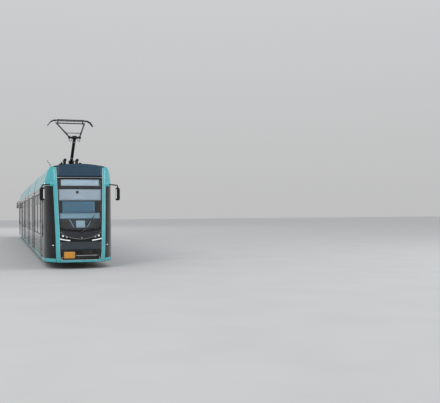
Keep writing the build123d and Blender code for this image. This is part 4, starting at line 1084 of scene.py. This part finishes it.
def repeat(name, body, tree, points, values, outs=()):
    """Runs a tree on points and makes the result a plain piece."""
    mesh = bpy.data.meshes.new(name)
    mesh.from_pydata(points, [], [])
    if outs:
        attr = mesh.attributes.new("out", "FLOAT_VECTOR", "POINT")
        for place, out in zip(attr.data, outs):
            place.vector = out
    obj = put(name, mesh)
    mod = obj.modifiers.new("repeat", "NODES")
    mod.node_group = TREES[tree].tree
    for key, value in values.items():
        mod[TREES[tree].ids[key]] = value
    bpy.context.view_layer.update()
    shown = obj.evaluated_get(bpy.context.evaluated_depsgraph_get())
    made = bpy.data.meshes.new_from_object(shown)
    obj.modifiers.clear()
    obj.data = made
    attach(obj, body)


def roof_fittings(s):
    """Fans, lids, conduits and rails on the roof."""
    b = Build()
    boxes = ROOF_BOXES[s.kind]
    for start, end, half, height in boxes:
        top = DECK + height
        a0, a1 = s.y0 + start, s.y0 + end
        count = max(2, round((a1 - a0) / 0.62))
        size = (a1 - a0) / count / 2 - 0.03
        r = min(0.22, size * 0.85)
        fan = [(0.0, r), (0.022, r), (0.026, r - 0.015), (0.012, r - 0.03), (0.012, 0.0)]
        for i in range(count):
            cy = a0 + (a1 - a0) * (i + 0.5) / count
            b.box(0, cy, half - height / 6 - 0.02, size, top + 0.0005, top + 0.010, "box")
            for cx in (-half * 0.45, half * 0.45) if i % 2 == 0 else ():
                at = (cx, cy, top + 0.008), (0, 0, 1)
                b.revolve(fan, *at, "matt", 28)
                b.revolve([(0.012, 0.05), (0.026, 0.045), (0.028, 0.0)], *at, "zinc", 16)
                for u, v in compass(8):
                    ends = (0.04, r - 0.01)
                    b.tube([(cx + u * d, cy + v * d, top + 0.029) for d in ends], 0.004, "zinc", 5)
        for x in (-half - 0.03, half + 0.03):
            b.tube([(x, a0 - 0.12, DECK + 0.03), (x, a1 + 0.12, DECK + 0.03)], 0.018, "zinc")
    spans = [2.0 if s.kind == "front" else 0.08]
    spans += [v for start, end, _, _ in boxes for v in (start - 0.01, end + 0.01)]
    spans.append(s.y1 - s.y0 - 0.08)
    for x in (-0.30, -0.24, 0.26):
        for ends in zip(spans[::2], spans[1::2]):
            b.tube([(x, s.y0 + u, DECK + 0.028) for u in ends], 0.014, "zinc")
    b.seat(s, "roof_fittings", "roof_paint")


def roof_louvres(s):
    """Fins between the bars of the roof boxes' louvres."""
    points = []
    flip = -1 if s.turn else 1
    for start, end, half, height in ROOF_BOXES[s.kind]:
        bar = height * 0.55 / 7
        count = round((end - start - 0.18) / 0.06)
        for side in (-flip, flip):
            for row in range(4):
                z = DECK + height * 0.2 + bar * (2 * row + 0.5)
                for u in spread(start + 0.09, end - 0.09, count)[1:-1]:
                    points.append((side * (half - 0.009), flip * (s.y0 + u), z))
    values = {"Size": (0.010, 0.006, 0.0225), "Material": MATS["matt"]}
    repeat(f"{s.name}_roof_louvres", s.name, "slat", points, values)


def antenna(s):
    """Short radio aerial on the edge of the roof."""
    b = Build()
    foot = Vector((-0.86, NOSE + 1.60, 3.50))
    b.revolve([(0.0, 0.045), (0.02, 0.04), (0.04, 0.02), (0.045, 0.0)], foot, (0, 0, 1), "matt", 16)
    b.tube([foot + Vector(p) for p in ((0, 0, 0), (-0.04, 0.02, 0.11), (-0.17, 0.06, 0.30))], 0.009, "matt")
    b.seat(s, "antenna", "mirror_black")


def under_floor(s):
    """Cross beams, pipes and boxes under the floor."""
    b = Build()
    length = s.y1 - s.y0
    flats = {"front": ((1.5, 3.55), (6.45, 7.2)), "second": ((0.75, length - 0.75),), "middle": ()}
    for f0, f1 in flats[s.kind]:
        for u in spread(f0, f1, max(2, round((f1 - f0) / 0.62))):
            for side in (-1, 1):
                b.box(side * 0.6125, s.y0 + u, 0.4825, 0.025, 0.252, 0.2995, "floor")
    if s.kind == "second":
        for x in (-0.55, 0.75):
            b.box(x, s.y0 + 3.35, 0.20, 1.05, 0.236, 0.2515, "matt")
            for k in range(7):
                b.box(x, s.y0 + 2.41 + k * 0.3, 0.19, 0.01, 0.2345, 0.237, "zinc")
    runs = {
        "front": ((1.6, 3.65), (6.35, length - 0.1)),
        "middle": ((0.1, 0.62), (3.3, 3.8)),
        "second": ((0.2, length - 0.2),),
    }
    for x in (-0.98, 0.98, 0.92):
        for ends in runs[s.kind]:
            b.tube([(x, s.y0 + u, 0.243) for u in ends], 0.0085, "zinc")
    b.seat(s, "under_floor", "floor_pan")


def hoop(near, far, r0, r1):
    """Profile of a plain hoop between two places along its axis."""
    return [(near, r0), (near, r1), (far, r1), (far, r0)]


def bogie_fittings(name, y):
    """Springs' rubber folds, bearing caps, dampers, motor ribs and brake shoes of one bogie."""
    b = Build()
    folds = [(k * 0.0185, 0.104 if k % 2 else 0.0965) for k in range(13)]
    cap = [(0.0, 0.085), (0.018, 0.085), (0.026, 0.072), (0.030, 0.0)]
    for side in (-1, 1):
        for dy in (-0.21, 0.21):
            b.revolve(folds, (side * 0.91, y + dy, 0.434), (0, 0, 1), "spring")
        for dy in (-0.85, 0.85):
            b.revolve(cap, (side * 0.9653, y + dy, AXLE_Z), (side, 0, 0), "zinc")
        low, mid, high = [(side * 0.99, y + u, z) for u, z in ((-0.60, 0.39), (-0.25, 0.44), (-0.02, 0.47))]
        b.tube([low, mid], 0.026, "zinc", 12)
        b.tube([mid, high], 0.016, "steel", 10)
        for k in range(7):
            at = (side * 0.33, y + side * (0.43 + 0.042 * k), 0.315)
            b.revolve(hoop(-0.006, 0.006, 0.100, 0.111), at, (0, 1, 0), "bogie")
        for k in range(6):
            b.box(side * 0.75, y - 0.375 + 0.15 * k, 0.041, 0.02, 0.075, 0.135, "zinc")
        b.box(side * 0.75, y, 0.030, 0.40, 0.052, 0.0605, "steel")
    b.finish(f"{name}_fittings", name, "bogie_paint")


def wheel_discs(name, y):
    """Brake rings on the backs of the wheels and collars on the axle of one wheelset."""
    b = Build()
    for side in (-1, 1):
        b.revolve(hoop(0.0, 0.0095 * side, 0.10, 0.185), (side * 0.681, y, AXLE_Z), (1, 0, 0), "steel", 32)
        for u, v in compass(6):
            at = (side * 0.6805, y + 0.142 * u, AXLE_Z + 0.142 * v)
            b.revolve(hoop(-0.001 * side, 0.004 * side, 0.012, 0.0), at, (1, 0, 0), "zinc", 12)
        collar = hoop(-0.03 * side, 0.03 * side, 0.063, 0.082)
        b.revolve(collar, (side * 0.50, y, AXLE_Z), (1, 0, 0), "zinc")
    b.finish(f"{name}_discs", name, "wheel_steel")


def wheel_bolts(name, y):
    """Ring of bolts on the web of each wheel."""
    points = [(s * 0.790, y + 0.16 * u, AXLE_Z + 0.16 * v) for s in (-1, 1) for u, v in compass(10)]
    values = {"Radius": sizes().bolt_radius, "Height": 0.016, "Sides": 6, "Material": MATS["zinc"]}
    outs = [(s, 0, 0) for s in (-1, 1) for _ in range(10)]
    repeat(f"{name}_bolts", name, "bolt", points, values, outs)


def pad(b, at, ay, az, size):
    """A crowned cushion: a closed form whose sides pull in between its corners."""
    n = 12
    sx, sy, sz = size
    verts = []
    index = {}
    faces = []

    def place(face, j, i):
        return (0 if i in (0, n) or j in (0, n) else face, j, i)

    for face in (0, 1):
        for j, v in enumerate(spread(-1, 1, n)):
            for i, u in enumerate(spread(-1, 1, n)):
                key = place(face, j, i)
                if key in index:
                    continue
                crown = ((1 - u ** 4) * (1 - v ** 4)) ** 0.45
                height = crown * (1 - 0.16 * math.exp(-(v / 0.05) ** 2))
                if face:
                    height = -0.35 * min(1, crown * 1.6)
                across = Vector((u * sx * (1 - 0.035 * (1 - v * v)), 0, 0))
                along = ay * (v * sy * (1 - 0.035 * (1 - u * u)))
                index[key] = len(verts)
                verts.append(at + across + along + az * (height * sz))
    for face in (0, 1):
        for j in range(n):
            for i in range(n):
                corners = ((j, i), (j, i + 1), (j + 1, i + 1), (j + 1, i))
                quad = [index[place(face, *corner)] for corner in corners]
                faces.append(quad[::-1] if face else quad)
    b.add(verts, faces, "seat")


def seat_pads(s):
    """Cushions on every seat and seat back of one section."""
    b = Build()
    for u, side, facing, top in SEATS[s.kind]:
        up = Vector((0, -facing * 0.118, 1)).normalized()
        out = Vector((0, facing, 0.118)).normalized()
        for place in (0.741, 0.984):
            x = side * place
            at = Vector((x, s.y0 + u + facing * 0.26, top + 0.002))
            pad(b, at, Vector((0, 1, 0)), Vector((0, 0, 1)), (0.115, 0.155, 0.035))
            at = Vector((x, s.y0 + u + facing * 0.066, top + 0.42))
            pad(b, at, up, out, (0.115, 0.30, 0.030))
    obj = b.seat(s, "seat_pads", "seat_shells")


def saloon_fittings(s):
    """Ceiling lights and the grab rails that hang from the ceiling."""
    b = Build()
    start = s.y0 + (2.3 if s.kind == "front" else 0.25)
    end = s.y1 - 0.25
    for side in (-1, 1):
        x = side * 0.42
        b.block(x - 0.05, x + 0.05, start, end, 3.095, 3.128, "ceiling_light")
        b.block(x - 0.065, x + 0.065, start - 0.01, end + 0.01, 3.112, 3.1295, "lining")
        x = side * 0.50
        b.tube([(x, start + 0.05, RAIL_Z), (x, end - 0.05, RAIL_Z)], 0.015, "steel")
        for y in spread(start + 0.1, end - 0.1, max(2, round((end - start) / 1.6))):
            b.tube([(x, y, RAIL_Z), (x, y, 3.12)], 0.011, "steel")
    b.seat(s, "saloon_fittings", "seat_shells")


def pan_base_fittings():
    """Ribs of the insulators, the main springs, their lift cylinder and the drives."""
    b = Build()
    frame_z = PIVOT.z - 0.1482
    low = 3.482
    height = frame_z - 0.062 - low
    step = height / 4
    ribs = [(0.0, 0.05)]
    for k in range(4):
        ribs += [(step * (k + d), r) for d, r in ((0.2, 0.056), (0.5, 0.09), (0.62, 0.09), (0.82, 0.056))]
    ribs.append((height, 0.05))
    for x in (-0.48, 0.48):
        for y in (-0.87, 0.51):
            b.revolve(ribs, (x, PIVOT.y + y, low), (0, 0, 1), "insulator")
    along = (0, 1, 0)
    for side in (-1, 1):
        x = side * 0.155
        coil = []
        for t in spread(0, 1, 96):
            a = 2 * math.pi * 12 * t
            z = frame_z + 0.045 + 0.036 * math.sin(a)
            coil.append((x + 0.036 * math.cos(a), PIVOT.y + 0.06 + 0.42 * t, z))
        b.tube(coil, 0.006, "zinc", 6)
        for t in (0.03, 0.10, 0.28, 0.47, 0.54):
            at = (side * 0.23, PIVOT.y + t, PIVOT.z + 0.085)
            b.revolve(hoop(-0.012, 0.012, 0.050, 0.057), at, along, "zinc")
        b.tube([(x, PIVOT.y + t, frame_z + 0.045) for t in (0.03, 0.54)], 0.014, "pan")
    at = (0.36, PIVOT.y + 0.30, frame_z + 0.07)
    b.revolve(hoop(-0.11, 0.11, 0.02, 0.075), at, along, "pan")
    b.block(0.30, 0.42, PIVOT.y + 0.18, PIVOT.y + 0.42, frame_z - 0.03, frame_z + 0.05, "pan")
    b.block(-0.44, -0.30, PIVOT.y + 0.10, PIVOT.y + 0.42, frame_z - 0.03, frame_z + 0.09, "pan")
    y = PIVOT.y + 0.25
    b.tube([(-0.37, y, frame_z + 0.08), (-0.33, y, frame_z + 0.15)], 0.035, "pan", 12)
    for start, end, radius, sides in ((0.10, 0.54, 0.045, 16), (0.02, 0.12, 0.018, 10)):
        b.tube([(0, PIVOT.y + t, frame_z - 0.03) for t in (start, end)], radius, "zinc", sides)
    b.finish("pan_base_fittings", "front", "pantograph_paint")


def pan_lower_fittings():
    """Clamp bands and the knee's shunt loops on the lower arm."""
    b = Build()
    along = (KNEE - PIVOT).normalized()
    clamp = [(-0.025, 0.0585), (-0.02, 0.064), (0.02, 0.064), (0.025, 0.0585)]
    for t in (0.30, 1.30):
        b.revolve(clamp, PIVOT + along * t, along, "zinc")
    for side in (-1, 1):
        top = Vector((side * 0.155, KNEE.y, KNEE.z - 0.030))
        loop = []
        for a in spread(0, math.pi, 14):
            c = math.cos(a)
            loop.append(top + Vector((0.050 * c * side, 0.03 * c, -0.115 * math.sin(a))))
        b.tube(loop, 0.012, "copper")
    b.finish("pan_lower_fittings", "pan_lower_arm", "pantograph_paint")


def pan_upper_fittings():
    """Sheaths of the upper arm's two legs, and their clamps."""
    b = Build()
    for side in (-1, 1):
        foot = Vector((side * 0.178, KNEE.y, KNEE.z))
        top = Vector((side * 0.54, HEAD.y, HEAD.z))
        along = (top - foot).normalized()
        b.tube([foot + along * 0.075, top - along * 0.06], 0.0275, "pan", 10)
        for t in (0.14, 1.60):
            b.revolve(hoop(-0.02, 0.02, 0.02, 0.033), foot + along * t, along, "zinc", 16)
    b.finish("pan_upper_fittings", "pan_upper_arm", "pantograph_paint")


def pan_head_fittings():
    """Carbon strips with their metal carriers and feet."""
    b = Build()
    z = HEAD.z + 0.085
    for y in (HEAD.y - 0.095, HEAD.y + 0.095):
        b.box(0, y, 0.52, 0.022, z + 0.0345, z + 0.050, "carbon")
        b.box(0, y, 0.56, 0.0305, z + 0.004, z + 0.014, "zinc")
        for x in (-0.50, -0.17, 0.17, 0.50):
            b.box(x, y, 0.02, 0.033, z - 0.004, z, "zinc")
    b.finish("pan_head_fittings", "pan_head", "contact_metal")


def plain_floor():
    """Pale floor the tram stands on."""
    n = Finish("studio_floor", 0.9)
    n.set("Base Color", n.mix(n.spots(0.6, 3.0), (0.63, 0.63, 0.625), (0.60, 0.60, 0.595)))
    MATS["studio"] = n.mat
    b = Build()
    b.box(0, 0, 160, 160, -0.06, -0.002, "studio")
    b.make("floor_plane")


def area_light(name, at, look, size, power, colour=(1, 1, 1)):
    """A soft panel light aimed at a point."""
    data = bpy.data.lights.new(name, "AREA")
    data.shape = "RECTANGLE"
    data.size, data.size_y = size
    data.energy = power
    data.color = colour
    obj = put(name, data)
    obj.location = at
    aim = Vector(look) - Vector(at)
    obj.rotation_euler = aim.to_track_quat("-Z", "Y").to_euler()


def lights():
    """World and lamps at a plain level."""
    scene = bpy.context.scene
    scene.world = bpy.data.worlds.new("studio")
    scene.world.use_nodes = True
    sky = Graph(scene.world.node_tree)
    coord = sky.node("ShaderNodeTexCoord", {})
    split = sky.node("ShaderNodeSeparateXYZ", {0: coord.outputs["Generated"]})
    ramp = sky.node("ShaderNodeValToRGB", {0: split.outputs[2]})
    low, high = ramp.color_ramp.elements
    low.color = (0.62, 0.62, 0.62, 1)
    high.color = (0.80, 0.82, 0.85, 1)
    high.position = 0.6
    back = sky.tree.nodes["Background"].inputs
    sky.link(ramp.outputs[0], back["Color"])
    sky.link(0.85, back["Strength"])
    area_light("key", (-26, -46, 26), (0, -12, 2), (16, 16), sizes().key_power, (1, 0.98, 0.95))
    area_light("fill", (30, -30, 14), (0, -10, 2), (20, 12), 2600, (0.95, 0.98, 1))
    area_light("rear", (-10, 50, 24), (0, 8, 2), (16, 12), 2600)
    scene.view_settings.view_transform = "Standard"


def photo_camera():
    """The camera from which the photo was taken."""
    yaw, pitch, roll = map(math.radians, (CAMERA_YAW, CAMERA_PITCH, CAMERA_ROLL))
    right = Vector((math.cos(yaw), -math.sin(yaw), 0))
    ahead = Vector((math.sin(yaw), math.cos(yaw), 0))
    up = Vector((0, 0, 1))
    look = ahead * math.cos(pitch) + up * math.sin(pitch)
    top = up * math.cos(pitch) - ahead * math.sin(pitch)
    rolled_right = right * math.cos(roll) + top * math.sin(roll)
    rolled_up = top * math.cos(roll) - right * math.sin(roll)
    data = bpy.data.cameras.new("photo_camera")
    data.sensor_fit = "HORIZONTAL"
    data.sensor_width = SENSOR
    data.lens = FOCAL_PX / IMAGE_WIDTH * SENSOR
    data.clip_end = 500
    obj = put("photo_camera", data)
    basis = Matrix((rolled_right, rolled_up, -look)).transposed()
    obj.matrix_world = Matrix.Translation(CAMERA_AT) @ basis.to_4x4()
    bpy.context.scene.camera = obj


class TramSizes(bpy.types.PropertyGroup):
    """Sizes and colours of the tram's finish that a user would change."""

    livery: bpy.props.FloatVectorProperty(
        name="Livery", subtype="COLOR", size=3, default=TEAL,
        description="Colour of the frame, skirt and roof cheeks")
    side_black: bpy.props.FloatVectorProperty(
        name="Side black", subtype="COLOR", size=3, default=BLACK,
        description="Colour of the gloss side panels")
    folds: bpy.props.IntProperty(
        name="Bellows folds", default=9, min=3, max=20,
        description="Number of folds in each gangway bellows")
    fold_depth: bpy.props.FloatProperty(
        name="Fold depth", default=0.055, min=0.01, unit="LENGTH",
        description="Depth of one bellows fold")
    bolt_radius: bpy.props.FloatProperty(
        name="Wheel bolt radius", default=0.014, min=0.004, unit="LENGTH",
        description="Radius of a bolt head on the wheels")
    key_power: bpy.props.FloatProperty(
        name="Key light", default=5200.0, min=0.0,
        description="Power of the main soft light in watts")


def sizes():
    """The user's values."""
    return bpy.context.scene.tram_sizes


BODIES = [(section,) for section in SECTIONS]
CABS = BODIES[:2]
# The bellows with the sections that they join, and where they start and end
BELLOWS = (
    ("bellows_1", "front", "second", CAB_BACK, HUNG_FAR),
    ("bellows_2", "second", "middle", HUNG_NEAR, -MID_END),
    ("bellows_3", "middle", "fourth", MID_END, -HUNG_NEAR),
    ("bellows_4", "fourth", "rear", -HUNG_FAR, -CAB_BACK),
)
# The bogies' places along the tram
BOGIES = (("front", -12.95), ("middle", 0.0), ("rear", 12.95))


def run(builders, items=((),)):
    """Runs the builders of one group on every item of the group."""
    for item in items:
        for builder in builders:
            builder(*item)
    return {"FINISHED"}


class TRAM_OT_finishes(bpy.types.Operator):
    """Makes the finishes and gives them to the frame's own nodes"""

    bl_idname = "tram.finishes"
    bl_label = "Finishes"

    def execute(self, context):
        make_materials()
        TREES.update(bolt=bolt_tree(), slat=slat_tree())
        finish_frame()
        return {"FINISHED"}


class TRAM_OT_faces(bpy.types.Operator):
    """Builds the frame, panels and lamps of both cab faces"""

    bl_idname = "tram.faces"
    bl_label = "Cab faces"

    def execute(self, context):
        return run((face_frame, face_panels, face_lamps, cab_skin), CABS)


class TRAM_OT_glazing(bpy.types.Operator):
    """Builds the windscreens and the cabs' side panes"""

    bl_idname = "tram.glazing"
    bl_label = "Cab glazing"

    def execute(self, context):
        return run((windscreen, cab_panes), CABS)


class TRAM_OT_cabs(bpy.types.Operator):
    """Builds what shows inside the cabs, and their wipers, mirrors and aerials"""

    bl_idname = "tram.cabs"
    bl_label = "Cab fittings"

    def execute(self, context):
        return run((cab_interior, wiper_set, mirror_set, antenna), CABS)


class TRAM_OT_sides(bpy.types.Operator):
    """Builds seals, handles, seams, roof fittings and under-floor parts of the sections"""

    bl_idname = "tram.sides"
    bl_label = "Sections"

    def execute(self, context):
        fittings = section_trim, roof_fittings, roof_louvres, under_floor, saloon_fittings, seat_pads
        return run(fittings, BODIES)


class TRAM_OT_bellows(bpy.types.Operator):
    """Builds the four folding gangway tunnels"""

    bl_idname = "tram.bellows"
    bl_label = "Bellows"

    def execute(self, context):
        return run((bellows_piece,), BELLOWS)


class TRAM_OT_running_gear(bpy.types.Operator):
    """Builds the fittings of the bogies and wheels"""

    bl_idname = "tram.running_gear"
    bl_label = "Running gear"

    def execute(self, context):
        for place, y in BOGIES:
            bogie_fittings(f"{place}_bogie", y)
            for number in (1, 2):
                name = f"{place}_wheelset_{number}"
                low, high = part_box(name)
                wheel_discs(name, (low.y + high.y) / 2)
                wheel_bolts(name, (low.y + high.y) / 2)
        return {"FINISHED"}


class TRAM_OT_pantograph(bpy.types.Operator):
    """Builds the fittings of the pantograph"""

    bl_idname = "tram.pantograph"
    bl_label = "Pantograph"

    def execute(self, context):
        return run((pan_base_fittings, pan_lower_fittings, pan_upper_fittings, pan_head_fittings))


class TRAM_OT_stage(bpy.types.Operator):
    """Makes the floor, the lights and the camera"""

    bl_idname = "tram.stage"
    bl_label = "Stage"

    def execute(self, context):
        return run((plain_floor, lights, photo_camera))


STEPS = (
    TRAM_OT_finishes,
    TRAM_OT_faces,
    TRAM_OT_glazing,
    TRAM_OT_cabs,
    TRAM_OT_sides,
    TRAM_OT_bellows,
    TRAM_OT_running_gear,
    TRAM_OT_pantograph,
    TRAM_OT_stage,
)


class TRAM_PT_panel(bpy.types.Panel):
    """Lists the tram's values and its steps"""

    bl_label = "Low-floor tram"
    bl_idname = "TRAM_PT_panel"
    bl_space_type = "VIEW_3D"
    bl_region_type = "UI"
    bl_category = "Tram"

    def draw(self, context):
        column = self.layout.column()
        for key in TramSizes.__annotations__:
            column.prop(context.scene.tram_sizes, key)
        for step in STEPS:
            column.operator(step.bl_idname)


CLASSES = (TramSizes,) + STEPS + (TRAM_PT_panel,)


def register():
    """Adds the tram's classes and values."""
    for cls in CLASSES:
        bpy.utils.register_class(cls)
    bpy.types.Scene.tram_sizes = bpy.props.PointerProperty(type=TramSizes)


def unregister():
    """Takes them away again."""
    del bpy.types.Scene.tram_sizes
    for cls in reversed(CLASSES):
        bpy.utils.unregister_class(cls)


def main():
    """Builds the whole tram."""
    register()
    bpy.ops.tram.finishes()
    bpy.ops.tram.faces()
    bpy.ops.tram.glazing()
    bpy.ops.tram.cabs()
    bpy.ops.tram.sides()
    bpy.ops.tram.bellows()
    bpy.ops.tram.running_gear()
    bpy.ops.tram.pantograph()
    bpy.ops.tram.stage()


if __name__ == "__main__":
    main()
